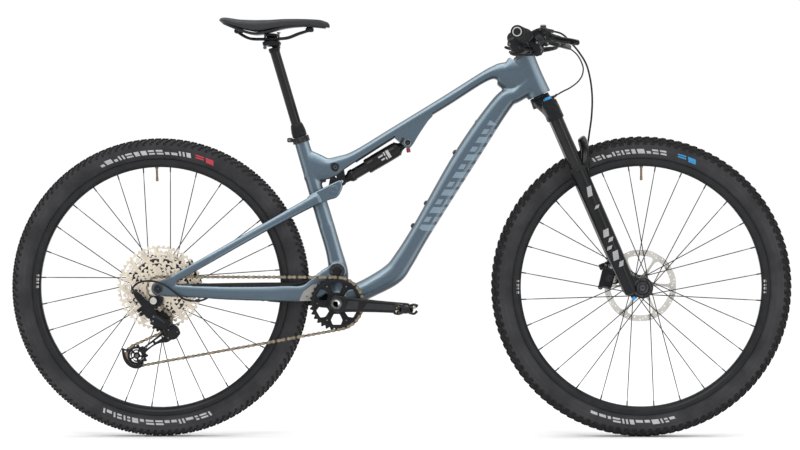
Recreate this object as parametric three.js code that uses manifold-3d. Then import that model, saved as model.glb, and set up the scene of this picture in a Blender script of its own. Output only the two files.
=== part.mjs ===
// Full-suspension mountain bike, in millimetres: +X forward, +Y to the bike's left, +Z up.
// The origin is on the ground, midway along the wheels; the drive side faces -Y.
import * as THREE from "three";
import { mergeVertices } from "three/addons/utils/BufferGeometryUtils.js";
import Module from "manifold-3d";

const wasm = await Module();
wasm.setup();

// ---- Driving dimensions ----
const REAR_AXLE = { x: -597.5, z: 371 };
const FRONT_AXLE = { x: 596, z: 372.5 };
const REAR_TYRE_R = 371;
const FRONT_TYRE_R = 372.5;
const RIM_OUTER_R = 318;
const RIM_INNER_R = 298.5;
const RIM_WIDTH = 35;
const TYRE_WIDTH = 60;
const SPOKES = 28;
const SPOKE_R = 0.95;
const WHEEL_SIDES = 36;
const BOTTOM_BRACKET = { x: -158.1, z: 333 };
const MAIN_PIVOT = { x: -157.9, z: 412.3 };
const ROCKER_PIVOT = { x: -156, z: 677 };
const SHOCK_REAR = { x: -146.4, z: 633.8 };
const SHOCK_FRONT = { x: 17.4, z: 730.1 };
const STAY_PIVOT = { x: -166.1, z: 613.2 };
const STAY_FLEX = { x: -560, z: 392 };
const CHAINRING_TEETH = 32;
const CHAIN_PITCH = 12.7;
const CHAIN_LEAD = 34;
const CHAINRING_Y = -52;
const COG_TEETH = [51, 45, 39, 33, 28, 24, 21, 18, 16, 14, 12, 10];
const COG_IN_USE = 9;
const LARGEST_COG_Y = -31.2;
const COG_SPACING = 3.456;
const COG_HALF = 0.8;
const COG_TIP = 2.2;
const COG_GROOVE_R = 21;
const PULLEY_TEETH = 13;
const GUIDE_PULLEY = { x: -592, z: 289.9 };
const TENSION_PULLEY = { x: -652.4, z: 204.7 };
const CAGE_PIVOT = { x: -563.8, z: 263.9 };
const HANGER_BOLT = { x: -608, z: 341.8 };
const CRANK_LENGTH = 172.5;
const CRANK_DROP = THREE.MathUtils.degToRad(3.5);
const SEAT_ANGLE = THREE.MathUtils.degToRad(73.6);
const SEAT_TUBE_TOP = { x: -246.9, z: 733 };
const SEAT_TUBE_R = 17.8;
const HEAD_ANGLE = THREE.MathUtils.degToRad(66.5);
const HEAD_BASE = { x: 343.5, z: 843.2 };
const FORK_LEG_X = 15;
const FORK_LEG_Y = 67;
const FORK_AXLE = { x: 43.9, z: -532.4 };
const STANCHION_R = 17;
const BAR_CLAMP = { x: 338.3, z: 980.5 };
const BAR_HALF_WIDTH = 376;
const BAR_SWEEP = 0.167;
const BAR_RISE = 0.0485;
// Corners closer to a straight line than this are merged.
const SLIVER = 0.02;

const cogRadius = (teeth) => (teeth * CHAIN_PITCH) / (2 * Math.PI);
const pitchRadius = (teeth) => CHAIN_PITCH / (2 * Math.sin(Math.PI / teeth));
const cogY = (index) => LARGEST_COG_Y - COG_SPACING * index;

// ---- Finishes ----
const FINISHES = {
  frame: [0x66798a, 0.35, 0.4],
  black: [0x151618, 0.45, 0.2],
  rubber: [0x1b1b1d, 0.85, 0],
  carbon: [0x202225, 0.4, 0.1],
  steel: [0xc9c6c0, 0.3, 0.95],
  cassette: [0xd8cdbd, 0.35, 0.9],
  chain: [0x8d8272, 0.4, 0.9],
  blue: [0x1e9fdc, 0.35, 0.7],
  red: [0xbf1434, 0.35, 0.7],
  foam: [0x17181a, 0.75, 0],
};

function finish(name) {
  const [color, roughness, metalness] = FINISHES[name];
  return new THREE.MeshStandardMaterial({ color, roughness, metalness });
}

// ---- Solids: joining and cutting ----
function toSolid(geometry) {
  const bare = new THREE.BufferGeometry();
  bare.setAttribute("position", geometry.getAttribute("position").clone());
  if (geometry.index) bare.setIndex(geometry.index.clone());
  const merged = mergeVertices(bare, 1e-4);
  const triVerts = new Uint32Array(merged.index.array);
  const vertProperties = merged.getAttribute("position").array;
  const solid = new wasm.Manifold(new wasm.Mesh({ numProp: 3, vertProperties, triVerts }));
  if (solid.volume() >= 0) return solid;
  const turned = triVerts.slice();
  for (let i = 0; i < turned.length; i += 3) {
    turned[i + 1] = triVerts[i + 2];
    turned[i + 2] = triVerts[i + 1];
  }
  return new wasm.Manifold(new wasm.Mesh({ numProp: 3, vertProperties, triVerts: turned }));
}

function fromSolid(solid) {
  const mesh = solid.simplify(SLIVER).getMesh();
  const geometry = new THREE.BufferGeometry();
  geometry.setAttribute("position", new THREE.BufferAttribute(mesh.vertProperties, 3));
  geometry.setIndex(new THREE.BufferAttribute(mesh.triVerts, 1));
  geometry.computeVertexNormals();
  return geometry;
}

function join(...parts) {
  return fromSolid(parts.map(toSolid).reduce((whole, part) => whole.add(part)));
}

function cut(body, ...tools) {
  return fromSolid(tools.map(toSolid).reduce((whole, tool) => whole.subtract(tool), toSolid(body)));
}

// ---- Shapes ----
const point = (x, y, z) => new THREE.Vector3(x, y, z);
const place = (at, y) => point(at.x, y, at.z);

// A solid turned about a line along Y; profile points are [radius, y].
function turned(profile, at, sides = 20) {
  const points = profile.map(([r, y]) => new THREE.Vector2(r, y));
  return new THREE.LatheGeometry(points, sides, Math.PI / sides).translate(at.x, 0, at.z);
}

// A ring of rectangular section about a line along Y.
function ring(at, inner, outer, y0, y1, sides = 20) {
  return turned([[inner, y0], [outer, y0], [outer, y1], [inner, y1], [inner, y0]], at, sides);
}

// A straight round bar between two points.
function rod(from, to, radius, sides = 12, endRadius = radius) {
  const along = to.clone().sub(from);
  const bar = new THREE.CylinderGeometry(endRadius, radius, along.length(), sides);
  const turn = new THREE.Quaternion().setFromUnitVectors(point(0, 1, 0), along.clone().normalize());
  return bar.applyQuaternion(turn).translate(...from.clone().addScaledVector(along, 0.5).toArray());
}

// A bar along Y, centred on a side-view point.
const pin = (at, y0, y1, radius, sides = 14) => rod(place(at, y0), place(at, y1), radius, sides);

function block(x0, x1, y0, y1, z0, z1) {
  const box = new THREE.BoxGeometry(x1 - x0, y1 - y0, z1 - z0);
  return box.translate((x0 + x1) / 2, (y0 + y1) / 2, (z0 + z1) / 2);
}

// A side-view outline of [x, z] corners, thickened from y0 to y1, with optional holes.
function slab(outline, y0, y1, holes = []) {
  const shape = new THREE.Shape(outline.map(([x, z]) => new THREE.Vector2(x, z)));
  for (const hole of holes) shape.holes.push(new THREE.Path(hole.map(([x, z]) => new THREE.Vector2(x,
    z))));
  const plate = new THREE.ExtrudeGeometry(shape, { depth: y1 - y0, bevelEnabled: false,
    curveSegments: 8 });
  return plate.rotateX(Math.PI / 2).translate(0, y1, 0);
}

// The outline of a circle, as [x, z] corners.
function circle(at, radius, count = 16, start = 0) {
  return Array.from({ length: count }, (_, i) => {
    const angle = start + (i / count) * 2 * Math.PI;
    return [at.x + radius * Math.cos(angle), at.z + radius * Math.sin(angle)];
  });
}

// A plate with round ends between two side-view points.
function link(a, b, radiusA, radiusB, y0, y1) {
  const lean = Math.atan2(b.z - a.z, b.x - a.x);
  const spread = Math.acos((radiusA - radiusB) / Math.hypot(b.x - a.x, b.z - a.z));
  const arc = (at, radius, from, to) =>
    Array.from({ length: 7 }, (_, i) => {
      const angle = from + ((to - from) * i) / 6;
      return [at.x + radius * Math.cos(angle), at.z + radius * Math.sin(angle)];
    });
  return slab(
    [
      ...arc(a, radiusA, lean + spread, lean + 2 * Math.PI - spread),
      ...arc(b, radiusB, lean - spread, lean + spread),
    ],
    y0,
    y1,
  );
}

// A skin over rings of points, capped at both ends unless it closes on itself.
function skin(rings, closed = false) {
  const count = rings[0].length;
  const index = [];
  const bands = closed ? rings.length : rings.length - 1;
  for (let i = 0; i < bands; i++)
    for (let j = 0; j < count; j++) {
      const a = i * count + j;
      const b = i * count + ((j + 1) % count);
      const c = ((i + 1) % rings.length) * count + ((j + 1) % count);
      const d = ((i + 1) % rings.length) * count + j;
      index.push(a, b, c, a, c, d);
    }
  if (!closed) {
    const last = (rings.length - 1) * count;
    for (let j = 1; j < count - 1; j++) index.push(0, j + 1, j, last, last + j, last + j + 1);
  }
  const geometry = new THREE.BufferGeometry();
  const flat = rings.flat().flatMap((p) => [p.x, p.y, p.z]);
  geometry.setAttribute("position", new THREE.Float32BufferAttribute(flat, 3));
  geometry.setIndex(index);
  return geometry;
}

// A rounded-box ring of points round a centre.
function roundedRing(at, along, upHint, high, wide, sides, power) {
  const side = new THREE.Vector3().crossVectors(upHint, along).normalize();
  const up = new THREE.Vector3().crossVectors(along, side).normalize();
  const bend = (value) => Math.sign(value) * Math.abs(value) ** (2 / power);
  return Array.from({ length: sides }, (_, i) => {
    const angle = ((i + 0.5) / sides) * 2 * Math.PI;
    return at
      .clone()
      .addScaledVector(up, high * bend(Math.cos(angle)))
      .addScaledVector(side, wide * bend(Math.sin(angle)));
  });
}

// A tube of changing section through stations [x, y, z, half height, half width].
function beam(stations, { sides = 12, power = 2.6, upHint = point(0, 0, 1) } = {}) {
  const centres = stations.map(([x, y, z]) => point(x, y, z));
  const rings = stations.map(([, , , high, wide], i) => {
    const before = centres[Math.max(i - 1, 0)];
    const after = centres[Math.min(i + 1, centres.length - 1)];
    const along = after.clone().sub(before).normalize();
    return roundedRing(centres[i], along, upHint, high, wide, sides, power);
  });
  return skin(rings);
}

// A round hose through a few chosen points.
function hose(points, radius, steps) {
  const path = new THREE.CatmullRomCurve3(points.map((p) => point(...p)));
  const section = new THREE.Shape(circle({ x: 0, z: 0 }, radius,
    8).map(([x, z]) => new THREE.Vector2(x, z)));
  return new THREE.ExtrudeGeometry(section, { steps, extrudePath: path, bevelEnabled: false });
}

const mirrored = (geometry) => geometry.clone().scale(1, -1, 1);

// ---- The scene graph ----
const bike = new THREE.Group();

function add(parent, name, geometry, look) {
  const mesh = new THREE.Mesh(join(geometry), finish(look));
  mesh.name = name;
  parent.add(mesh);
  return mesh;
}

// ---- Main frame ----
function seatAxisPoint(distance) {
  const x = SEAT_TUBE_TOP.x - distance * Math.cos(SEAT_ANGLE);
  return point(x, 0, SEAT_TUBE_TOP.z + distance * Math.sin(SEAT_ANGLE));
}

function headPoint(x, y, z) {
  const lean = HEAD_ANGLE - Math.PI / 2;
  const turn = new THREE.Matrix4().makeRotationY(lean).setPosition(HEAD_BASE.x, 0, HEAD_BASE.z);
  return point(x, y, z).applyMatrix4(turn);
}

function downTube() {
  return beam([
    [330, 0, 885, 32, 26],
    [287, 0, 850, 21, 27],
    [251.6, 0, 827.5, 25, 28],
    [160.8, 0, 694.5, 29.3, 28],
    [52, 0, 513.3, 24.2, 26],
    [5.1, 0, 436.2, 26.1, 27],
    [-22, 0, 402.4, 27.5, 28],
    [-80, 0, 369, 25, 32],
    [-132, 0, 345, 26, 38],
  ]);
}

function topTube() {
  return beam([
    [-228, 0, 672, 38, 18],
    [-185, 0, 663, 31, 19.5],
    [-150, 0, 677, 21, 20],
    [-110, 0, 697.5, 14.5, 20],
    [-17, 0, 755, 13.2, 19],
    [107.7, 0, 830.8, 13.4, 20],
    [205, 0, 892, 12.3, 23],
    [262, 0, 918, 20, 25],
    [316, 0, 908, 38, 26],
  ]);
}

function seatTube() {
  const upper = rod(seatAxisPoint(11), seatAxisPoint(-215), SEAT_TUBE_R, 18, 20);
  const lower = beam([
    [-185.6, 0, 525, 20, 20],
    [-167, 0, 461.5, 20, 21],
    [-156, 0, 412, 24, 23],
    [-156, 0, 384, 25, 23.8],
    [-156, 0, 362, 27, 29],
    [-158, 0, 335, 27, 36],
  ], { upHint: point(1, 0, 0) });
  return join(upper, lower);
}

function headTube() {
  const low = headPoint(1, 0, 4).toArray();
  const high = headPoint(1, 0, 109).toArray();
  return beam([[...low, 30, 27], [...high, 30, 26]], { power: 2.1, upHint: point(1, 0, 0), sides: 16 });
}

function shockEars() {
  const outline = [[-14, 752], [6, 724], [14, 716.5], [22, 716.5], [31, 726.8], [46, 751.7], [68, 784],
    [79, 797], [64, 806]];
  const ear = slab(outline, 10.4, 17.5);
  return join(ear, mirrored(ear), pin(SHOCK_FRONT, -17, 17, 4, 10));
}

function bottleBosses() {
  // Flat-topped pads for bottle cages, just proud of the inner face of the down tube.
  const pads = [[29.5, 524], [62, 580], [133.5, 706], [189, 781]];
  return pads.map(([x, z]) => rod(point(x - 2.5, 0, z + 1.6), point(x + 8.5, 0, z - 5.4), 7, 10));
}

function mainFrame() {
  const shell = pin(BOTTOM_BRACKET, -46, 46, 25, 20);
  const pivotBoss = pin(MAIN_PIVOT, -24.4, 24.4, 21.6, 15);
  const body = join(downTube(), topTube(), seatTube(), headTube(), shell, pivotBoss, ...bottleBosses());
  const rockerSlot = slab(
    [[-186, 590], [-186, 676], [-172, 692], [-142, 692.5], [-128, 690], [-96, 678], [-84, 640],
      [-84, 590]],
    -14.2,
    14.2,
  );
  const hollowed = cut(
    body,
    rod(headPoint(0, 0, -40), headPoint(0, 0, 140), 15.2, 14),
    rod(headPoint(0, 0, 109.2), headPoint(0, 0, 160), 34, 18),
    rod(headPoint(0, 0, -60), headPoint(0, 0, 3.4), 40, 18),
    rod(seatAxisPoint(30), seatAxisPoint(-276), 15.9, 16),
    pin(BOTTOM_BRACKET, -60, 60, 19.5, 16),
    rockerSlot,
  );
  return join(hollowed, shockEars(), pin(ROCKER_PIVOT, -17, 17, 5, 10),
    pin(MAIN_PIVOT, -38, 38, 6.5, 12));
}

// ---- Seat post and saddle ----
function seatClamp() {
  const band = cut(
    rod(seatAxisPoint(-3), seatAxisPoint(12), 21.5, 20),
    rod(seatAxisPoint(-10), seatAxisPoint(20), SEAT_TUBE_R + 1.2, 20),
  );
  const lug = block(-281, -269.9, -9, 9, 731, 742);
  return join(band, lug);
}

function dropperTube() {
  const outside = join(
    rod(seatAxisPoint(-272), seatAxisPoint(20), 15.4, 16),
    rod(seatAxisPoint(12.6), seatAxisPoint(43), 18.2, 16, 15.5),
  );
  return cut(outside, rod(seatAxisPoint(-268), seatAxisPoint(60), 13, 16));
}

function dropperStanchion() {
  const post = rod(seatAxisPoint(-112), seatAxisPoint(242), 12.5, 16);
  const head = join(
    block(-341, -299, -14, 14, 966, 998),
    block(-339, -301, -29, 29, 971, 981.8),
    block(-336, -304, -29, 29, 993.6, 999),
  );
  const bore = rod(seatAxisPoint(-130), seatAxisPoint(215), 9.5, 12);
  return cut(join(post, head), bore);
}

function saddleRails() {
  const half = [
    [-398, 22, 1000.5], [-386, 22, 993], [-370, 22, 987.6], [-345, 22, 986.8], [-300, 22, 987.8],
    [-278, 22, 990.5], [-255, 18, 999.5], [-236, 12, 1005.5], [-224, 5, 1007.5],
  ];
  const route = [...half, ...half.map(([x, y, z]) => [x, -y, z]).reverse()];
  return beam(route.map(([x, y, z]) => [x, y, z, 3.4, 3.4]), { sides: 8, power: 2 });
}

function saddleShell() {
  const sections = [
    [-447, 1041, 1030, 42], [-430, 1040, 1017, 64], [-400, 1034.6, 1006, 70], [-362, 1033.4, 1000, 66],
    [-325, 1035, 1004, 52], [-285, 1037.4, 1013.5, 35], [-240, 1037.6, 1015.5, 25],
      [-205, 1035, 1014, 20],
    [-184, 1029, 1013.5, 14], [-175.8, 1022, 1016, 6],
  ];
  return skin(
    sections.map(([x, top, bottom, wide]) =>
      roundedRing(point(x, 0, (top + bottom) / 2), point(1, 0, 0), point(0, 0, 1), (top - bottom) / 2,
        wide, 14, 2.5),
    ),
  );
}

// ---- Wheels ----
function tyre(axle, outer) {
  const half = TYRE_WIDTH / 2;
  const side = [
    [RIM_OUTER_R + 0.6, 12.5], [RIM_OUTER_R + 0.6, 15.5], [332, 26.5], [347, half], [outer - 9,
      half - 3.5],
    [outer / Math.cos(Math.PI / WHEEL_SIDES), 14],
  ];
  const inside = [[outer - 9, 12], [343, 25]];
  const mirror = (points) => points.map(([r, y]) => [r, -y]).reverse();
  return turned([...side, ...mirror(side), ...mirror(inside), ...inside, side[0]], axle, WHEEL_SIDES);
}

function rim(axle) {
  const half = RIM_WIDTH / 2;
  const section = [
    [RIM_INNER_R, -8], [308, -half], [RIM_OUTER_R, -half], [RIM_OUTER_R, -half + 2.2], [301, -8],
    [301, 8], [RIM_OUTER_R, half - 2.2], [RIM_OUTER_R, half], [308, half], [RIM_INNER_R, 8],
      [RIM_INNER_R, -8],
  ];
  return turned(section, axle, WHEEL_SIDES);
}

// One side's fourteen spokes, laced tangentially, on the ring that holds their elbows.
function spokeSet(axle, firstNipple, turn, side, ringY, ringR) {
  const lean = THREE.MathUtils.degToRad(80);
  const step = ((2 * Math.PI) / SPOKES) * turn;
  const parts = [ring(axle, ringR - 3.5, ringR + 3.5, ringY - 1.7, ringY + 1.7, 12)];
  for (let i = side; i < SPOKES; i += 2) {
    const angle = firstNipple + i * step;
    const hole = angle + (i % 4 < 2 ? lean : -lean);
    const face = ringY + (i % 4 < 2 ? 1.3 : -1.3);
    const inner = point(axle.x + ringR * Math.cos(hole), face, axle.z + ringR * Math.sin(hole));
    const reach = RIM_INNER_R - 1.4;
    const outer = point(axle.x + reach * Math.cos(angle), 2 * Math.sign(ringY),
      axle.z + reach * Math.sin(angle));
    parts.push(rod(inner, outer, SPOKE_R, 3));
  }
  return join(...parts);
}

function rearHub() {
  const profile = [
    [6.8, -23], [28.5, -22.6], [28.5, -19], [15, -15], [15, 27], [24, 31], [24, 35], [15.5, 35.4],
    [15.5, 42], [21, 46], [21, 57], [15, 57.2], [15, 62], [9.5, 64], [9.5, 73.6], [6.8, 73.6],
      [6.8, -23],
  ];
  return turned(profile, REAR_AXLE, 14);
}

function frontHub() {
  const profile = [
    [7.9, -54.6], [11, -54.6], [11, -44], [15, -42], [15.5, -38], [24, -37.6], [24, -34], [14, -30],
      [14, 18],
    [24, 22], [24, 26], [15.5, 26.4], [15.5, 31], [21, 34], [21, 43.4], [15, 43.6], [15, 48], [11, 50],
    [11, 54.6], [7.9, 54.6], [7.9, -54.6],
  ];
  return turned(profile, FRONT_AXLE, 14);
}

// A brake disc: a perforated band on six arms.
function brakeRotor(axle, radius, y) {
  const inner = radius - 15;
  const windows = Array.from({ length: 6 }, (_, i) => {
    const start = (i * Math.PI) / 3 + 0.14;
    const sweep = Math.PI / 3 - 0.28;
    const angles = [0, 1, 2].map((k) => start + (sweep * k) / 2);
    const arc = (r, list) => list.map((a) => [axle.x + r * Math.cos(a), axle.z + r * Math.sin(a)]);
    return [...arc(inner, angles), ...arc(28, [angles[2], angles[0]])];
  });
  return slab(circle(axle, radius, 30), y - 0.9, y + 0.9, [...windows, circle(axle, 15.8, 12)]);
}

function brakeCaliper(rotorY) {
  // In the disc's own frame: +X away from the axle.
  const body = join(block(-16, 17, rotorY - 12, rotorY + 13.4, -26, 26),
    block(2, 17, rotorY + 4, rotorY + 13.4, -34, 34));
  return cut(body, block(-30, 12.5, rotorY - 2.2, rotorY + 2.2, -60, 60));
}

// ---- Rear triangle ----
function rightChainstay() {
  return beam([
    [-604, -78, 371.5, 14, 3.9],
    [-575, -78, 367.5, 16.5, 4.2],
    [-540, -78, 365, 15, 4.6],
    [-490, -77.5, 362.5, 15, 5],
    [-430, -71, 360, 15.5, 6.5],
    [-350, -57, 357, 16, 7],
    [-290, -44.5, 356, 17, 6],
    [-240, -40, 361, 17, 5.5],
    [-212, -35, 378, 18, 6],
    [-182, -30.5, 400, 19, 5.2],
    [-158, -30, 412, 19, 4.8],
  ], { sides: 10 });
}

function chainstays() {
  const dropout = cut(
    join(slab(circle(REAR_AXLE, 17.5, 18), -82, -74), link(REAR_AXLE, STAY_FLEX, 16, 9, -82, -74.2)),
    pin(REAR_AXLE, -100, -60, 6.6, 12),
    slab([[-566, 396.4], [-556.4, 379], [-530, 390], [-530, 420], [-580, 420]], -100, -60),
  );
  const bossRing = pin(MAIN_PIVOT, -35, -25, 22.7, 18);
  const one = join(rightChainstay(), bossRing);
  const side = cut(
    join(cut(one, pin(REAR_AXLE, -100, -60, 6.6, 12)), dropout),
    pin(MAIN_PIVOT, -60, -20, 7, 12),
    slab([[-575, 389], [-530, 379.5], [-500, 400], [-560, 430]], -100, -60),
  );
  const bridge = rod(point(-206, -36, 386), point(-206, 36, 386), 8.5, 12);
  return join(side, mirrored(side), bridge);
}

function rightSeatstay() {
  const stay = beam([
    [-552, -78, 399, 10, 3.9],
    [-520, -78, 417, 10.5, 4.2],
    [-470, -75, 445, 10.5, 5.5],
    [-400, -61, 485, 10.5, 6.5],
    [-320, -43, 530, 11, 7],
    [-250, -31.5, 568, 12.5, 7.5],
    [-205, -29.5, 592, 14, 7],
  ], { sides: 10 });
  const lug = slab(
    [[-232, 572], [-226, 600], [-153, 637], [-146, 630], [-146, 618], [-158, 594.5], [-178, 589],
      [-206, 577]],
    -29,
    -22.2,
  );
  return join(stay, lug, pin(STAY_PIVOT, -29, -14.6, 13, 14));
}

function seatstays() {
  const right = rightSeatstay();
  return join(right, mirrored(right), pin(STAY_PIVOT, -20, 20, 5, 10));
}

function rearAxleRod() {
  const profile = [[0, -87], [11, -87], [11, -82.4], [6, -82.2], [6, 82.2], [10, 82.4], [10, 85],
    [0, 85]];
  return turned(profile, REAR_AXLE, 14);
}

function hangerAndKnuckle() {
  // The hanger below the dropout, and the upper knuckle bolted to its outer face.
  const hanger = slab([[-617, 351.5], [-603, 351.8], [-586, 349.8], [-590, 330], [-606, 327],
    [-619, 334]], -82, -74.5);
  const arm = link({ x: -650, z: 358 }, HANGER_BOLT, 6, 11, -96, -82);
  const lower = link(HANGER_BOLT, { x: -612, z: 313 }, 11, 10, -96, -82);
  return join(hanger, arm, lower, pin(HANGER_BOLT, -100, -80, 8.5, 14));
}

// ---- Rear suspension ----
function rocker() {
  const plate = (y0, y1) =>
    join(link(ROCKER_PIVOT, STAY_PIVOT, 12.5, 15, y0, y1),
      link(ROCKER_PIVOT, SHOCK_REAR, 12.5, 9.5, y0, y1));
  const plates = join(plate(-13.6, -10), plate(10, 13.6), pin(ROCKER_PIVOT, -13, 13, 10, 14));
  const pierced = cut(plates, pin(ROCKER_PIVOT, -20, 20, 5.6, 12), pin(STAY_PIVOT, -20, 20, 12, 14));
  return join(pierced, pin(SHOCK_REAR, -12, 12, 4, 10));
}

const shockSpan = place(SHOCK_REAR, 0).distanceTo(place(SHOCK_FRONT, 0));
const shockPoint = (distance) =>
  place(SHOCK_FRONT, 0).lerp(place(SHOCK_REAR, 0), distance / shockSpan);

function shockCan() {
  const can = rod(shockPoint(28), shockPoint(116), 19.3, 16);
  const neck = rod(shockPoint(0), shockPoint(34), 8.8, 12);
  const eye = pin(SHOCK_FRONT, -9.2, 9.2, 10.5, 14);
  const shell = cut(join(can, neck, eye), rod(shockPoint(40), shockPoint(140), 16.4, 16));
  return cut(shell, pin(SHOCK_FRONT, -20, 20, 4.6, 12));
}

function shockShaft() {
  const shaft = join(rod(shockPoint(80), shockPoint(160), 14.8, 14),
    rod(shockPoint(150), shockPoint(186), 8.8, 12));
  const piston = rod(shockPoint(76), shockPoint(84), 15.8, 14);
  const eye = pin(SHOCK_REAR, -9.2, 9.2, 11, 14);
  return cut(join(shaft, piston, eye), pin(SHOCK_REAR, -30, 30, 8.1, 14),
    rod(shockPoint(70), shockPoint(150), 12, 12));
}

// ---- Drivetrain ----
// A stepped block of cogs, grooved on both sides of the cog that carries the chain.
function cassette() {
  const last = COG_TEETH.length - 1;
  const outside = COG_TEETH.flatMap((teeth, i) => {
    const radius = cogRadius(teeth) + COG_TIP;
    const grooved = i === COG_IN_USE || i === COG_IN_USE - 1;
    const end = grooved || i === last ? cogY(i) - COG_HALF : cogY(i + 1) + COG_HALF;
    const steps = [[radius, cogY(i) + COG_HALF], [radius, end]];
    return grooved ? [...steps, [COG_GROOVE_R, end], [COG_GROOVE_R, cogY(i + 1) + COG_HALF]] : steps;
  });
  const inside = [[6.8, -29], [15, -29], [17, -54], [92, -36], [98, -30.4]];
  const nose = [[12, cogY(last) - COG_HALF], [12, -72.6], [6.8, -72.6]];
  return turned([...inside, ...outside, ...nose, inside[0]], REAR_AXLE, 16);
}

// A toothed disc outline.
function toothed(at, teeth, radius, depth) {
  return Array.from({ length: teeth * 2 }, (_, i) => {
    const angle = ((i + 0.5) / teeth) * Math.PI;
    const r = radius + (i % 2 ? depth : -depth);
    return [at.x + r * Math.cos(angle), at.z + r * Math.sin(angle)];
  });
}

function chainring() {
  const radius = pitchRadius(CHAINRING_TEETH);
  const windows = Array.from({ length: 6 }, (_, i) => {
    const middle = -Math.PI / 2 + (i * Math.PI) / 3;
    const corners = [[27, -0.26], [41, -0.39], [54, -0.2], [54, 0.2], [41, 0.39], [27, 0.26]];
    return corners.map(([r, a]) => [
      BOTTOM_BRACKET.x + r * Math.cos(middle + a),
      BOTTOM_BRACKET.z + r * Math.sin(middle + a),
    ]);
  });
  const holes = [...windows, circle(BOTTOM_BRACKET, 16.5, 14)];
  return slab(toothed(BOTTOM_BRACKET, CHAINRING_TEETH, radius, 2.6), CHAINRING_Y - 1, CHAINRING_Y + 1,
    holes);
}

const pedalCentre = {
  x: BOTTOM_BRACKET.x + CRANK_LENGTH * Math.cos(CRANK_DROP),
  z: BOTTOM_BRACKET.z - CRANK_LENGTH * Math.sin(CRANK_DROP),
};
const leftPedalCentre = {
  x: 2 * BOTTOM_BRACKET.x - pedalCentre.x,
  z: 2 * BOTTOM_BRACKET.z - pedalCentre.z,
};

// A crank arm on the right, with its stub axle for the pedal.
function crankArm(end) {
  const stations = [[-0.08, -64.5, 13, 8], [0, -64.5, 20, 8], [0.25, -66.5, 17, 8],
    [0.6, -72, 14.5, 7], [1, -79, 14, 7], [1.07, -80, 9, 6]];
  const arm = beam(
    stations.map(([t, y, high, wide]) => [
      BOTTOM_BRACKET.x + (end.x - BOTTOM_BRACKET.x) * t,
      y,
      BOTTOM_BRACKET.z + (end.z - BOTTOM_BRACKET.z) * t,
      high,
      wide,
    ]),
    { sides: 12, power: 3 },
  );
  return join(arm, pin(end, -150, -80, 4.5, 10));
}

function rightCrank() {
  const spindle = pin(BOTTOM_BRACKET, -66, 54, 12, 16);
  const spider = pin(BOTTOM_BRACKET, -60, -53.4, 21, 16);
  return cut(join(crankArm(pedalCentre), spindle, spider), pin(BOTTOM_BRACKET, -90, 90, 8.5, 12));
}

function leftCrank() {
  return cut(mirrored(crankArm(leftPedalCentre)), pin(BOTTOM_BRACKET, 50, 90, 12.4, 16));
}

function bottomBracket() {
  const profile = [
    [12.5, -49.6], [22, -49.6], [22, -46.4], [19, -46.2], [19, 46.2], [22, 46.4], [22, 49.6],
      [12.5, 49.6], [12.5, -49.6],
  ];
  return turned(profile, BOTTOM_BRACKET, 18);
}

function pedal(at) {
  const frame = slab(
    [[at.x - 29, at.z - 5], [at.x - 18, at.z - 14], [at.x + 14, at.z - 15], [at.x + 28, at.z - 6],
      [at.x + 28, at.z + 6], [at.x + 14, at.z + 14], [at.x - 18, at.z + 15], [at.x - 29, at.z + 5]],
    -152,
    -94,
  );
  const window = slab([[at.x - 20, at.z - 30], [at.x - 9, at.z - 30], [at.x - 9, at.z + 30],
    [at.x - 20, at.z + 30]], -140, -106);
  const sleeve = pin(at, -154, -88, 8, 12);
  return cut(join(cut(frame, window, window.clone().translate(29, 0, 0)), sleeve),
    pin(at, -151, -80, 5.2, 10));
}

// The chain's route: wheels it passes in turn, +1 where it runs clockwise seen from the drive side.
function chainRoute() {
  const used = COG_TEETH[COG_IN_USE];
  const cogPlane = cogY(COG_IN_USE);
  const wheels = [
    { ...REAR_AXLE, r: pitchRadius(used), turn: 1, y: cogPlane },
    { ...BOTTOM_BRACKET, r: pitchRadius(CHAINRING_TEETH), turn: 1, y: CHAINRING_Y },
    { ...TENSION_PULLEY, r: pitchRadius(PULLEY_TEETH), turn: 1, y: cogPlane },
    { ...GUIDE_PULLEY, r: pitchRadius(PULLEY_TEETH), turn: -1, y: cogPlane },
  ];
  const runs = wheels.map((a, i) => {
    const b = wheels[(i + 1) % wheels.length];
    const heading = Math.atan2(b.z - a.z, b.x - a.x);
    const offset = (a.turn * a.r - b.turn * b.r) / Math.hypot(b.x - a.x, b.z - a.z);
    return { a, b, angle: heading - Math.asin(offset) };
  });
  const route = [];
  const onWheel = (wheel, angle) => ({
    x: wheel.x - wheel.turn * wheel.r * Math.sin(angle),
    z: wheel.z + wheel.turn * wheel.r * Math.cos(angle),
    y: wheel.y,
    angle,
  });
  const ahead = (from, distance) => ({
    ...from,
    x: from.x + distance * Math.cos(from.angle),
    z: from.z + distance * Math.sin(from.angle),
  });
  runs.forEach((run, i) => {
    const previous = runs[(i + runs.length - 1) % runs.length];
    const wheel = run.a;
    let sweep = run.angle - previous.angle;
    while (sweep * wheel.turn > 0) sweep -= wheel.turn * 2 * Math.PI;
    while (sweep * wheel.turn <= -2 * Math.PI) sweep += wheel.turn * 2 * Math.PI;
    const count = Math.max(2, Math.ceil(Math.abs(sweep) / 0.36));
    for (let k = 0; k <= count; k++) route.push(onWheel(wheel, previous.angle + (sweep * k) / count));
    // The long runs stay in each wheel's plane until they are clear of its teeth.
    if (run.a.y === run.b.y) return;
    route.push(ahead(onWheel(wheel, run.angle), CHAIN_LEAD),
      ahead(onWheel(run.b, run.angle), -CHAIN_LEAD));
  });
  return route;
}

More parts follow.
